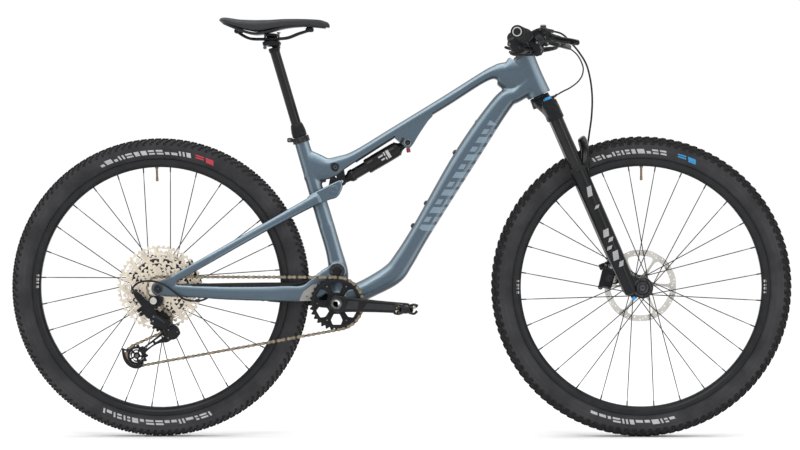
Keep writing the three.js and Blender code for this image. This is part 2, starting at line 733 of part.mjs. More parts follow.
function chain() {
  const route = chainRoute();
  const half = 3.6;
  const band = (near, far) =>
    skin(
      route.map(({ x, y, z, angle }) => {
        const nx = -Math.sin(angle) * half;
        const nz = Math.cos(angle) * half;
        return [
          point(x - nx, y + near, z - nz),
          point(x + nx, y + near, z + nz),
          point(x + nx, y + far, z + nz),
          point(x - nx, y + far, z - nz),
        ];
      }),
      true,
    );
  const pins = [];
  route.forEach((p, i) => {
    const next = route[(i + 1) % route.length];
    const reach = Math.hypot(next.x - p.x, next.z - p.z);
    for (let t = 0.14; reach > 200 && t < 0.9; t += 0.18) {
      const at = { x: p.x + (next.x - p.x) * t, z: p.z + (next.z - p.z) * t };
      const y = p.y + (next.y - p.y) * t;
      pins.push(pin(at, y - 2, y + 2, 2.4, 6));
    }
  });
  return join(band(-2.25, -1.3), band(1.3, 2.25), ...pins);
}

function pulley(at) {
  const body = slab(toothed(at, PULLEY_TEETH, pitchRadius(PULLEY_TEETH) - 0.6, 2.2), -0.9, 0.9,
    [circle(at, 4.4, 10)]);
  return body.translate(0, cogY(COG_IN_USE), 0);
}

function derailleurLink() {
  const y = cogY(COG_IN_USE);
  return beam(
    [
      [-611, y - 30, 296.6, 7.2, 6],
      [-598, y - 28, 290, 11, 7],
      [-584, y - 25, 281, 12, 7],
    ],
    { sides: 10, power: 3 },
  );
}

function cageKnuckle() {
  const y = cogY(COG_IN_USE);
  return join(pin(CAGE_PIVOT, y - 32, y - 10, 19, 16), link({ x: -570, z: 283 }, CAGE_PIVOT, 9, 14,
    y - 31, y - 14));
}

function derailleurCage() {
  const y = cogY(COG_IN_USE);
  const plate = (y0, y1) =>
    join(
      link(CAGE_PIVOT, TENSION_PULLEY, 15, 12, y0, y1),
      link(CAGE_PIVOT, GUIDE_PULLEY, 13, 8, y0, y1),
      link(TENSION_PULLEY, { x: -672, z: 187 }, 12, 16, y0, y1),
    );
  const plates = join(plate(y - 8, y - 5.5), plate(y + 5.5, y + 7.5));
  const bolts = [GUIDE_PULLEY, TENSION_PULLEY].map((at) => pin(at, y - 8, y + 7.4, 3.6, 10));
  return join(plates, ...bolts);
}

// ---- Fork, in the frame of the steering axis ----
const steered = new THREE.Group();
steered.position.set(HEAD_BASE.x, 0, HEAD_BASE.z);
steered.rotation.y = HEAD_ANGLE - Math.PI / 2;
bike.add(steered);

const legPoint = (side, z) => point(FORK_LEG_X, side * FORK_LEG_Y, z);

function forkUppers() {
  const steerer = rod(point(0, 0, -30), point(0, 0, 156), 14.2, 16);
  const base = rod(point(0, 0, -22), point(0, 0, 2.6), 26, 18, 24);
  const crown = beam(
    [
      [15, -80, -43, 18, 17], [15, -66, -43, 21, 20], [12, -44, -34, 17, 21], [4, -20, -16, 14, 23],
      [3, 0, -14, 14, 24], [4, 20, -16, 14, 23], [12, 44, -34, 17, 21], [15, 66, -43, 21, 20],
        [15, 80, -43, 18, 17],
    ],
    { sides: 10 },
  );
  const legs = [-1, 1].map((side) => rod(legPoint(side, -332), legPoint(side, -26), STANCHION_R, 14));
  const bores = [-1, 1].map((side) => rod(legPoint(side, -350), legPoint(side, -75), STANCHION_R - 2.2,
    12));
  return cut(join(steerer, base, crown, ...legs), ...bores,
    rod(point(0, 0, -80), point(0, 0, 170), 11, 12));
}

const placeFrontCaliper = (geometry) =>
  geometry.rotateY(Math.PI + 0.65).translate(FORK_AXLE.x - 67, 0, FORK_AXLE.z + 51);

function forkLowers() {
  const leg = (side) => {
    const tube = rod(legPoint(side, -455), legPoint(side, -204), 20.3, 14, 21);
    const foot = rod(legPoint(side, -534), legPoint(side, -452), 16.5, 14, 20.3);
    const dropout = slab(circle(FORK_AXLE, 22, 16), 0, 20).translate(0, side > 0 ? 56 : -76, 0);
    const web = link({ x: FORK_LEG_X, z: -500 }, FORK_AXLE, 15, 20, 0, 18).translate(0,
      side > 0 ? 57 : -75, 0);
    return join(tube, foot, dropout, web);
  };
  const arch = beam(
    [
      [16, -64, -225, 13, 8], [30, -62, -196, 13, 8], [42, -50, -164, 13, 7], [49, -27, -144, 13, 7],
        [51, 0, -138, 13, 7],
      [49, 27, -144, 13, 7], [42, 50, -164, 13, 7], [30, 62, -196, 13, 8], [16, 64, -225, 13, 8],
    ],
    { sides: 10, upHint: point(1, 0, 0.25) },
  );
  const tabs = [-498, -452].map((z) => block(-32, 8, 52, 64, z - 8, z + 8));
  const caliperRoom = placeFrontCaliper(block(-22, 18, 30, 63.2, -35, 35));
  const bores = [-1, 1].map((side) => rod(legPoint(side, -458), legPoint(side, -100),
    STANCHION_R + 0.6, 14));
  return cut(join(leg(-1), leg(1), arch, ...tabs), ...bores, pin(FORK_AXLE, -100, 100, 8, 14),
    caliperRoom);
}

function forkDial() {
  return rod(legPoint(-1, -18.2), legPoint(-1, -9), 10, 12);
}

function stem() {
  const body = join(
    rod(point(0, 0, 118), point(0, 0, 157), 19, 18),
    rod(point(50, -23, 128), point(50, 23, 128), 21, 18),
    beam([[0, 0, 137, 15, 17], [50, 0, 128, 16, 20]], { sides: 12, power: 3 }),
  );
  return cut(body, rod(point(0, 0, 100), point(0, 0, 170), 14.7, 16),
    rod(point(50, -40, 128), point(50, 40, 128), 16.4, 16));
}

function headsetCover() {
  return cut(rod(point(1, 0, 109.6), point(1, 0, 117.4), 28, 18, 22),
    rod(point(0, 0, 90), point(0, 0, 140), 14.8, 16));
}

// ---- Handlebar and controls ----
function barPoint(y) {
  const out = Math.max(Math.abs(y) - 50, 0);
  return point(BAR_CLAMP.x - out * BAR_SWEEP, y, BAR_CLAMP.z + out * BAR_RISE);
}

function handlebar() {
  const right = [[0, 15.9], [40, 15.9], [62, 15.6], [120, 11.1], [250, 11.1], [BAR_HALF_WIDTH, 11.1]];
  const stations = [...right.map(([y, r]) => [y, r]).reverse(),
    ...right.slice(1).map(([y, r]) => [-y, r])];
  return beam(
    stations.map(([y, r]) => [...barPoint(y).toArray(), r, r]),
    { sides: 12, power: 2 },
  );
}

function grip(side) {
  const sleeve = rod(barPoint(side * 248), barPoint(side * 380), 16, 18);
  return cut(sleeve, rod(barPoint(side * 230), barPoint(side * 377), 11.7, 16));
}

const barRoom = (side) => rod(barPoint(side * 160), barPoint(side * 247), 11.7, 12);

// The master cylinder on its clamp; the left one also carries the two remotes' housing.
function brakeBody(side) {
  const clamp = rod(barPoint(side * 226), barPoint(side * 239), 15.4, 12);
  const neck = rod(point(322, side * 232, 994), point(346, side * 228, 1003), 6, 6);
  const cylinder = rod(point(349, side * 172, 1007), point(348, side * 262, 1001), 10, 8);
  const hoseEnd = rod(point(349, side * 176, 1007), point(372, side * 166, 1002), 4.5, 6);
  return cut(join(clamp, neck, cylinder, hoseEnd), barRoom(side));
}

function remoteHousing() {
  const clamp = rod(barPoint(205), barPoint(226.5), 14, 12);
  const drum = rod(point(314, 212, 984), point(322, 206, 958), 11, 10);
  return cut(join(clamp, drum), barRoom(1));
}

function leftBrakeBody() {
  return join(brakeBody(1), remoteHousing());
}

function brakeBlade(side) {
  return beam(
    [
      [361, side * 252, 993, 6, 5], [385, side * 262, 986, 5.5, 5], [408, side * 285, 979, 5.5, 4.5],
      [420, side * 310, 975, 6, 4], [424, side * 335, 973, 6.5, 4],
    ],
    { sides: 8 },
  );
}

function shifterBody() {
  const clamp = rod(barPoint(-222), barPoint(-208), 15, 12);
  const drum = rod(point(318, -214, 982), point(340, -204, 946), 13.5, 12);
  return cut(join(clamp, drum), barRoom(-1));
}

const shiftPaddle = () =>
  beam([[322, -212, 945, 3, 7], [304, -222, 943, 3, 8], [284, -232, 944, 3.5, 9],
    [272, -238, 947, 4, 6]], { sides: 8 });
const dropperPaddle = () =>
  beam([[306, 218, 959, 3, 7], [292, 226, 960, 3, 8], [276, 236, 965, 3.5, 9], [262, 240, 970, 4, 6]],
    { sides: 8 });
const lockoutPaddle = () =>
  beam([[316, 186, 962, 3, 5], [300, 185, 957, 3, 6], [284, 184, 955, 3, 6], [272, 183, 957, 3, 5]],
    { sides: 8 });

function frontBrakeHose() {
  return hose(
    [
      [374, 165, 1001.5], [402, 160, 992], [430, 156, 972], [450, 148, 940], [462, 135, 890],
        [468, 115, 820],
      [466, 98, 750], [462, 92, 700], [456, 92, 650], [468, 93, 560], [478, 88, 500], [486, 80, 452],
        [492, 68, 440],
    ],
    2.4,
    26,
  );
}

function lockoutCable() {
  return hose(
    [
      [334, 196, 962], [372, 176, 968], [412, 130, 968], [444, 60, 935], [452, 10, 905],
        [442, -30, 872], [418, -52, 850],
      [396, -60, 840], [387, -64, 837],
    ],
    1.9,
    18,
  );
}

// ---- Assembly ----
function addFrame() {
  add(bike, "main_frame", mainFrame(), "frame");
  add(bike, "seat_clamp", seatClamp(), "black");
  add(bike, "dropper_outer_tube", dropperTube(), "black");
  add(bike, "bottom_bracket", bottomBracket(), "black");
  add(bike, "chain", chain(), "chain");
}

function addSeat() {
  add(bike, "dropper_stanchion", dropperStanchion(), "black");
  add(bike, "saddle_rails", saddleRails(), "black");
  add(bike, "saddle", saddleShell(), "foam");
}

function addRearTriangle() {
  add(bike, "chainstays", chainstays(), "frame");
  add(bike, "seatstays", seatstays(), "frame");
  add(bike, "rear_axle", rearAxleRod(), "black");
  add(bike, "rear_caliper", brakeCaliper(59).rotateY(-0.42).translate(-597.5 + 70, 0, 371 + 31),
    "black");
  add(bike, "rocker", rocker(), "black");
  add(bike, "shock_can", shockCan(), "black");
  add(bike, "shock_shaft", shockShaft(), "black");
  add(bike, "shock_rebound_dial", rod(point(20, 0, 702), point(18, 0, 715.6), 5.5, 10), "red");
}

function addDerailleur() {
  add(bike, "derailleur_hanger_knuckle", hangerAndKnuckle(), "black");
  add(bike, "derailleur_link", derailleurLink(), "black");
  add(bike, "derailleur_cage_knuckle", cageKnuckle(), "black");
  add(bike, "derailleur_cage", derailleurCage(), "black");
  add(bike, "guide_pulley", pulley(GUIDE_PULLEY), "black");
  add(bike, "tension_pulley", pulley(TENSION_PULLEY), "black");
}

function addWheel(name, axle, outer, hub, spokes, disc) {
  add(bike, name + "_tyre", tyre(axle, outer), "rubber");
  add(bike, name + "_rim", rim(axle), "black");
  add(bike, name + "_hub", hub, "black");
  const first = THREE.MathUtils.degToRad(spokes.first);
  add(bike, name + "_spokes_right", spokeSet(axle, first, spokes.turn, 0, spokes.rightY,
    spokes.rightR), "black");
  add(bike, name + "_spokes_left", spokeSet(axle, first, spokes.turn, 1, spokes.leftY, 21), "black");
  add(bike, name + "_rotor", brakeRotor(axle, disc.radius, disc.y), "steel");
}

function addDrivetrain() {
  add(bike, "cassette", cassette(), "cassette");
  add(bike, "chainring", chainring(), "black");
  add(bike, "crank_right", rightCrank(), "black");
  add(bike, "crank_left", leftCrank(), "black");
  add(bike, "pedal_right", pedal(pedalCentre), "black");
  add(bike, "pedal_left", mirrored(pedal(leftPedalCentre)), "black");
}

function addFork() {
  add(steered, "fork_uppers", forkUppers(), "black");
  add(steered, "fork_lowers", forkLowers(), "black");
  add(steered, "fork_lockout_dial", forkDial(), "blue");
  add(steered, "stem", stem(), "black");
  add(bike, "front_axle", turned([[0, -82], [9, -82], [9, -76.4], [7.4, -76.2], [7.4, 76.2], [9, 76.4],
    [9, 80], [0, 80]], FRONT_AXLE, 14), "black");
  add(steered, "front_caliper", placeFrontCaliper(brakeCaliper(44.7)), "black");
}

function addCockpit() {
  add(bike, "handlebar", handlebar(), "carbon");
  add(bike, "grip_right", grip(-1), "rubber");
  add(bike, "grip_left", grip(1), "rubber");
  add(bike, "brake_body_right", brakeBody(-1), "black");
  add(bike, "brake_body_left", leftBrakeBody(), "black");
  add(bike, "brake_lever_right", brakeBlade(-1), "black");
  add(bike, "brake_lever_left", brakeBlade(1), "black");
  add(bike, "shifter_body", shifterBody(), "black");
  add(bike, "shift_lever", shiftPaddle(), "black");
  add(bike, "dropper_lever", dropperPaddle(), "black");
  add(bike, "lockout_lever", lockoutPaddle(), "black");
  add(bike, "front_brake_hose", frontBrakeHose(), "rubber");
  add(bike, "lockout_cable", lockoutCable(), "rubber");
}

addFrame();
addSeat();
addRearTriangle();
addDerailleur();
addWheel("rear", REAR_AXLE, REAR_TYRE_R, rearHub(), { first: 98.2, turn: 1, rightY: -26.3,
  rightR: 24.5, leftY: 38.7 }, { radius: 80, y: 59 });
addWheel("front", FRONT_AXLE, FRONT_TYRE_R, frontHub(), { first: 83.3, turn: -1, rightY: -41.3,
  rightR: 21, leftY: 29.7 }, { radius: 90, y: 44.7 });
addDrivetrain();
addFork();
addCockpit();
add(steered, "headset_cover", headsetCover(), "black");

export default bike;
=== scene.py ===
import math

import bmesh
import bpy
import numpy as np
from mathutils import Euler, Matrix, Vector


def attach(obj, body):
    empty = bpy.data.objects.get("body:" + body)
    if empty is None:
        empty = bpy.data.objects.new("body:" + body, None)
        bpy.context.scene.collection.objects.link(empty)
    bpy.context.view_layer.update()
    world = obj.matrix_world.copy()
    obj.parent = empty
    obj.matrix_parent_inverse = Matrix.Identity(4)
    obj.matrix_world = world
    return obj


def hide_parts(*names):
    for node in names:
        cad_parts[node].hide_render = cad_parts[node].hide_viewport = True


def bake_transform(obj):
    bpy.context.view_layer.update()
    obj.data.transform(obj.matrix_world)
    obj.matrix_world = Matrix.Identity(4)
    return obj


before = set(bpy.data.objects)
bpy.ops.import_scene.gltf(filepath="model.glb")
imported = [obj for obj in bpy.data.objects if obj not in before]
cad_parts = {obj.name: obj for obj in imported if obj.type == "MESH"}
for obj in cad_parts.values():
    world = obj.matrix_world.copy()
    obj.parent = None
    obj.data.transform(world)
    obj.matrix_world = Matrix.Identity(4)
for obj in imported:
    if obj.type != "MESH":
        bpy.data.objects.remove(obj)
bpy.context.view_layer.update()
MM = 0.001

# ---- Driving dimensions, the same as the CAD part's ----
REAR = (-597.5, 371.0)
FRONT = (596.0, 372.5)
REAR_R = 371.0
FRONT_R = 372.5
RIM_OUT = 318.0
RIM_IN = 298.5
SPOKES = 28
BB = (-158.1, 333.0)
MAIN_PIVOT = (-157.9, 412.3)
ROCKER_PIVOT = (-156.0, 677.0)
SHOCK_REAR = (-146.4, 633.8)
SHOCK_FRONT = (17.4, 730.1)
STAY_PIVOT = (-166.1, 613.2)
STAY_FLEX = (-560.0, 392.0)
GUIDE = (-592.0, 289.9)
TENSION = (-652.4, 204.7)
CAGE_PIVOT = (-563.8, 263.9)
HANGER_BOLT = (-608.0, 341.8)
COGS = [51, 45, 39, 33, 28, 24, 21, 18, 16, 14, 12, 10]
COG_IN_USE = 9
COG_Y = -31.2
COG_SPACING = 3.456
RING_TEETH = 32
RING_Y = -52.0
PITCH = 12.7
CRANK = 172.5
CRANK_DROP = math.radians(3.5)
SEAT_ANGLE = math.radians(73.6)
SEAT_TOP = (-246.9, 733.0)
HEAD_LEAN = math.radians(23.5)
HEAD_BASE = (343.5, 843.2)
LEG_X = 15.0
LEG_Y = 67.0
FORK_AXLE = (43.9, -532.4)
BAR = (338.3, 980.5)
BAR_SWEEP = 0.167
BAR_RISE = 0.0485

# ---- Camera, light and floor ----
CAMERA_AT = (0.1646, -8.951, 0.8132)
CAMERA_YAW = 1.0665
CAMERA_PITCH = 1.842
CAMERA_ROLL = 0.063
CAMERA_LENS = 162.27


def add_camera():
    data = bpy.data.cameras.new("camera")
    data.lens = CAMERA_LENS
    data.sensor_width = 36
    data.clip_end = 60
    camera = bpy.data.objects.new("camera", data)
    angles = (math.radians(90 - CAMERA_PITCH), math.radians(CAMERA_ROLL), math.radians(CAMERA_YAW))
    camera.location = CAMERA_AT
    camera.rotation_euler = Euler(angles, "XYZ")
    bpy.context.scene.collection.objects.link(camera)
    bpy.context.scene.camera = camera


def add_light(name, at, aim, size, power):
    data = bpy.data.lights.new(name, "AREA")
    data.shape = "RECTANGLE"
    data.size, data.size_y = size
    data.energy = power
    light = bpy.data.objects.new(name, data)
    light.location = at
    light.rotation_euler = (Vector(aim) - Vector(at)).to_track_quat("-Z", "Y").to_euler()
    bpy.context.scene.collection.objects.link(light)


def add_stage():
    """A white studio: a pale floor, a bright white world all round, and soft lights."""
    scene = bpy.context.scene
    scene.view_settings.view_transform = "Standard"
    world = bpy.data.worlds.new("studio")
    world.use_nodes = True
    background = world.node_tree.nodes["Background"]
    background.inputs["Color"].default_value = (1, 1, 1, 1)
    background.inputs["Strength"].default_value = 1.03
    scene.world = world
    add_light("key", (-1.4, -3.4, 4.0), (0, 0, 0.5), (3.0, 1.6), 55)
    add_light("fill", (3.0, -3.2, 1.6), (0, 0, 0.5), (1.4, 2.2), 16)
    add_light("top", (0.2, 0.2, 4.2), (0, 0, 0.4), (4.5, 1.6), 45)
    half = 14.0
    mesh = bpy.data.meshes.new("floor")
    mesh.from_pydata([(-half, -half, 0), (half, -half, 0), (half, half, 0), (-half, half, 0)], [],
        [(0, 1, 2, 3)])
    floor = bpy.data.objects.new("floor", mesh)
    scene.collection.objects.link(floor)
    mesh.materials.append(material("floor_paper", (0.97, 0.97, 0.97), 0.9, vary=0.005, bump=0.02, gloss=0.1))


# ---- Materials ----
def srgb(r, g, b):
    return tuple(((c / 255 + 0.055) / 1.055) ** 2.4 if c > 10 else c / 255 / 12.92 for c in (r, g, b))


class Nodes:
    """A short way to add and wire shader nodes."""

    def __init__(self, name):
        self.material = bpy.data.materials.new(name)
        self.material.use_nodes = True
        self.tree = self.material.node_tree
        self.shader = self.tree.nodes["Principled BSDF"]
        coordinates = self.tree.nodes.new("ShaderNodeTexCoord")
        self.place = coordinates.outputs["Object"]

    def wire(self, source, target):
        self.tree.links.new(source, target)

    def set(self, socket, value):
        if isinstance(value, bpy.types.NodeSocket):
            self.wire(value, socket)
        else:
            socket.default_value = value

    def math(self, operation, a, b=0.0, c=0.0):
        node = self.tree.nodes.new("ShaderNodeMath")
        node.operation = operation
        for socket, value in zip(node.inputs, (a, b, c)):
            self.set(socket, value)
        return node.outputs[0]

    def noise(self, scale, detail=3.0, place=None):
        node = self.tree.nodes.new("ShaderNodeTexNoise")
        node.inputs["Scale"].default_value = scale
        node.inputs["Detail"].default_value = detail
        self.wire(place or self.place, node.inputs["Vector"])
        return node.outputs["Fac"]

    def split(self):
        node = self.tree.nodes.new("ShaderNodeSeparateXYZ")
        self.wire(self.place, node.inputs[0])
        return node.outputs

    def mix(self, factor, a, b):
        node = self.tree.nodes.new("ShaderNodeMix")
        node.data_type = "RGBA"
        self.set(node.inputs["Factor"], factor)
        for socket, value in ((node.inputs[6], a), (node.inputs[7], b)):
            self.set(socket, value if isinstance(value, bpy.types.NodeSocket) else (*value, 1.0))
        return node.outputs[2]

    def span(self, value, low, high, to_low, to_high):
        node = self.tree.nodes.new("ShaderNodeMapRange")
        for socket, number in zip(node.inputs, (value, low, high, to_low, to_high)):
            self.set(socket, number)
        return node.outputs[0]

    def bump(self, height, strength, distance):
        node = self.tree.nodes.new("ShaderNodeBump")
        node.inputs["Strength"].default_value = strength
        node.inputs["Distance"].default_value = distance
        self.wire(height, node.inputs["Height"])
        self.wire(node.outputs[0], self.shader.inputs["Normal"])

    def between(self, value, low, high):
        return self.math("MULTIPLY", self.math("GREATER_THAN", value, low),
            self.math("LESS_THAN", value, high))


def material(
    name,
    colour,
    rough,
    metal=0.0,
    coat=0.0,
    coat_rough=0.08,
    vary=0.12,
    vary_scale=35.0,
    bump=0.08,
    bump_scale=900.0,
    wear=0.0,
    wear_colour=(0.5, 0.5, 0.5),
    rings=None,
    weave=0.0,
    gloss=0.5,
):
    """A finish with mottled colour and gloss, fine bump, and a lighter colour where the form has an edge, for
    wear and a painted highlight.
    """
    n = Nodes(name)
    dark = tuple(c * (1 - vary) for c in colour)
    light = tuple(min(1.0, c * (1 + vary) + 0.002) for c in colour)
    cloud = n.noise(vary_scale, 5.0)
    tone = n.mix(n.span(cloud, 0.35, 0.65, 0.0, 1.0), dark, light)
    grain = n.noise(bump_scale, 2.0)
    # Lighter colour on convex edges: wear, and a painted highlight along the edges.
    if wear:
        geometry = n.tree.nodes.new("ShaderNodeNewGeometry")
        edge = n.span(geometry.outputs["Pointiness"], 0.53, 0.60, 0.0, wear)
        scuff = n.math("MULTIPLY", edge, n.span(n.noise(160.0), 0.42, 0.62, 0.2, 1.0))
        tone = n.mix(scuff, tone, wear_colour)
    if rings:
        at, spacing = rings
        x, _, z = n.split()
        dx = n.math("SUBTRACT", x, at[0] * MM)
        dz = n.math("SUBTRACT", z, at[1] * MM)
        radius = n.math("SQRT", n.math("ADD", n.math("MULTIPLY", dx, dx), n.math("MULTIPLY", dz, dz)))
        combine = n.tree.nodes.new("ShaderNodeCombineXYZ")
        lines = n.noise(1.0, 4.0, combine.outputs[0])
        n.wire(n.math("DIVIDE", radius, spacing * MM), combine.inputs[0])
        grain = n.math("ADD", n.math("MULTIPLY", lines, 0.8), n.math("MULTIPLY", grain, 0.2))
        tone = n.mix(n.span(lines, 0.3, 0.7, 0.0, 0.35), tone, dark)
    if weave:
        x, _, z = n.split()
        a = n.math("SINE", n.math("MULTIPLY", n.math("ADD", x, z), 2 * math.pi / (weave * MM)))
        b = n.math("SINE", n.math("MULTIPLY", n.math("SUBTRACT", x, z), 2 * math.pi / (weave * MM)))
        cloth = n.math("MULTIPLY", a, b)
        tone = n.mix(n.span(cloth, -1.0, 1.0, 0.0, 0.6), tone, light)
        grain = n.math("ADD", n.math("MULTIPLY", cloth, 0.3), grain)
    n.wire(tone, n.shader.inputs["Base Color"])
    n.wire(n.span(cloud, 0.3, 0.7, max(rough - 0.06, 0.03), min(rough + 0.08, 1.0)),
        n.shader.inputs["Roughness"])
    n.shader.inputs["Metallic"].default_value = metal
    n.shader.inputs["Specular IOR Level"].default_value = gloss
    n.shader.inputs["Coat Weight"].default_value = coat
    n.shader.inputs["Coat Roughness"].default_value = coat_rough
    n.bump(grain, bump, 0.0004)
    return n.material


def frame_paint():
    """Metallic slate paint under a clear coat, a pale slanted graphic along the down tube, and painted light
    and shade by facet direction.
    """
    n = Nodes("frame_paint")
    flakes = n.noise(2600.0, 1.0)
    cloud = n.noise(6.0, 2.0)
    normal = n.tree.nodes.new("ShaderNodeSeparateXYZ")
    n.wire(n.tree.nodes.new("ShaderNodeNewGeometry").outputs["Normal"], normal.inputs[0])
    # Painted light and shade from the world normal: up-facing facets painted lighter, down-facing facets
    # painted darker.
    lift = n.math("ADD", normal.outputs[2], n.math("MULTIPLY", normal.outputs[0], 0.15))
    base = n.mix(n.span(lift, -0.55, 0.02, 0.0, 1.0), srgb(42, 54, 63), srgb(69, 85, 97))
    base = n.mix(n.span(lift, 0.08, 0.62, 0.0, 1.0), base, srgb(138, 158, 171))
    facing = n.math("ABSOLUTE", normal.outputs[1])
    # Painted highlight stripes along the tubes, where the side turns towards the top.
    painted_highlight_stripes = n.math("MULTIPLY", n.span(facing, 0.58, 0.74, 0.0, 0.55), n.span(facing, 0.84, 0.97, 1.0, 0.0))
    base = n.mix(n.math("MULTIPLY", painted_highlight_stripes, n.span(lift, -0.45, -0.1, 0.0, 1.0)), base, srgb(166, 185, 196))
    # Painted dark shade along the tube outlines, where the surface turns away from the side.
    base = n.mix(n.span(facing, 0.36, 0.64, 0.9, 0.0), base, srgb(26, 34, 41))
    base = n.mix(n.span(cloud, 0.3, 0.7, 0.0, 0.12), base, srgb(70, 88, 102))
    base = n.mix(n.span(flakes, 0.55, 0.75, 0.0, 0.3), base, srgb(132, 150, 163))
    x, _, z = n.split()
    start, stop, lean = (62 * MM, 512 * MM), (236 * MM, 776 * MM), 0.62
    length = math.hypot(stop[0] - start[0], stop[1] - start[1])
    ux, uz = (stop[0] - start[0]) / length, (stop[1] - start[1]) / length
    dx, dz = n.math("SUBTRACT", x, start[0]), n.math("SUBTRACT", z, start[1])
    along = n.math("ADD", n.math("MULTIPLY", dx, ux), n.math("MULTIPLY", dz, uz))
    across = n.math("SUBTRACT", n.math("MULTIPLY", dx, uz), n.math("MULTIPLY", dz, ux))
    slanted = n.math("ADD", along, n.math("MULTIPLY", across, -lean))
    bar = n.math("FRACT", n.math("DIVIDE", slanted, 52 * MM))
    inside = n.math("MULTIPLY", n.between(along, -0.004, length), n.between(across, -0.0175, 0.0155))
    gap = n.math("GREATER_THAN", n.math("ABSOLUTE", n.math("ADD", across, 0.0025)), 0.0035)
    long_bar = n.between(bar, 0.0, 0.34)
    short_bar = n.math("MULTIPLY", n.between(bar, 0.50, 0.78), gap)
    graphic = n.math("MULTIPLY", inside, n.math("MAXIMUM", long_bar, short_bar))
    tone = n.mix(n.math("MULTIPLY", graphic, 0.6), base, srgb(136, 155, 168))
    n.wire(tone, n.shader.inputs["Base Color"])
    n.wire(n.span(cloud, 0.3, 0.7, 0.30, 0.38), n.shader.inputs["Roughness"])
    n.shader.inputs["Metallic"].default_value = 0.35
    n.shader.inputs["Specular IOR Level"].default_value = 0.3
    n.shader.inputs["Coat Weight"].default_value = 0.2
    n.shader.inputs["Coat Roughness"].default_value = 0.14
    n.bump(flakes, 0.03, 0.0002)
    return n.material


def finish(name, colour, *numbers, **settings):
    """A maker for one material, called when a piece first uses it."""
    return lambda: material(name, srgb(*colour), *numbers, **settings)


LOOKS = {}


def look(key):
    """The material of that name, made once."""
    if key not in LOOKS:
        LOOKS[key] = MAKERS[key]()
    return LOOKS[key]


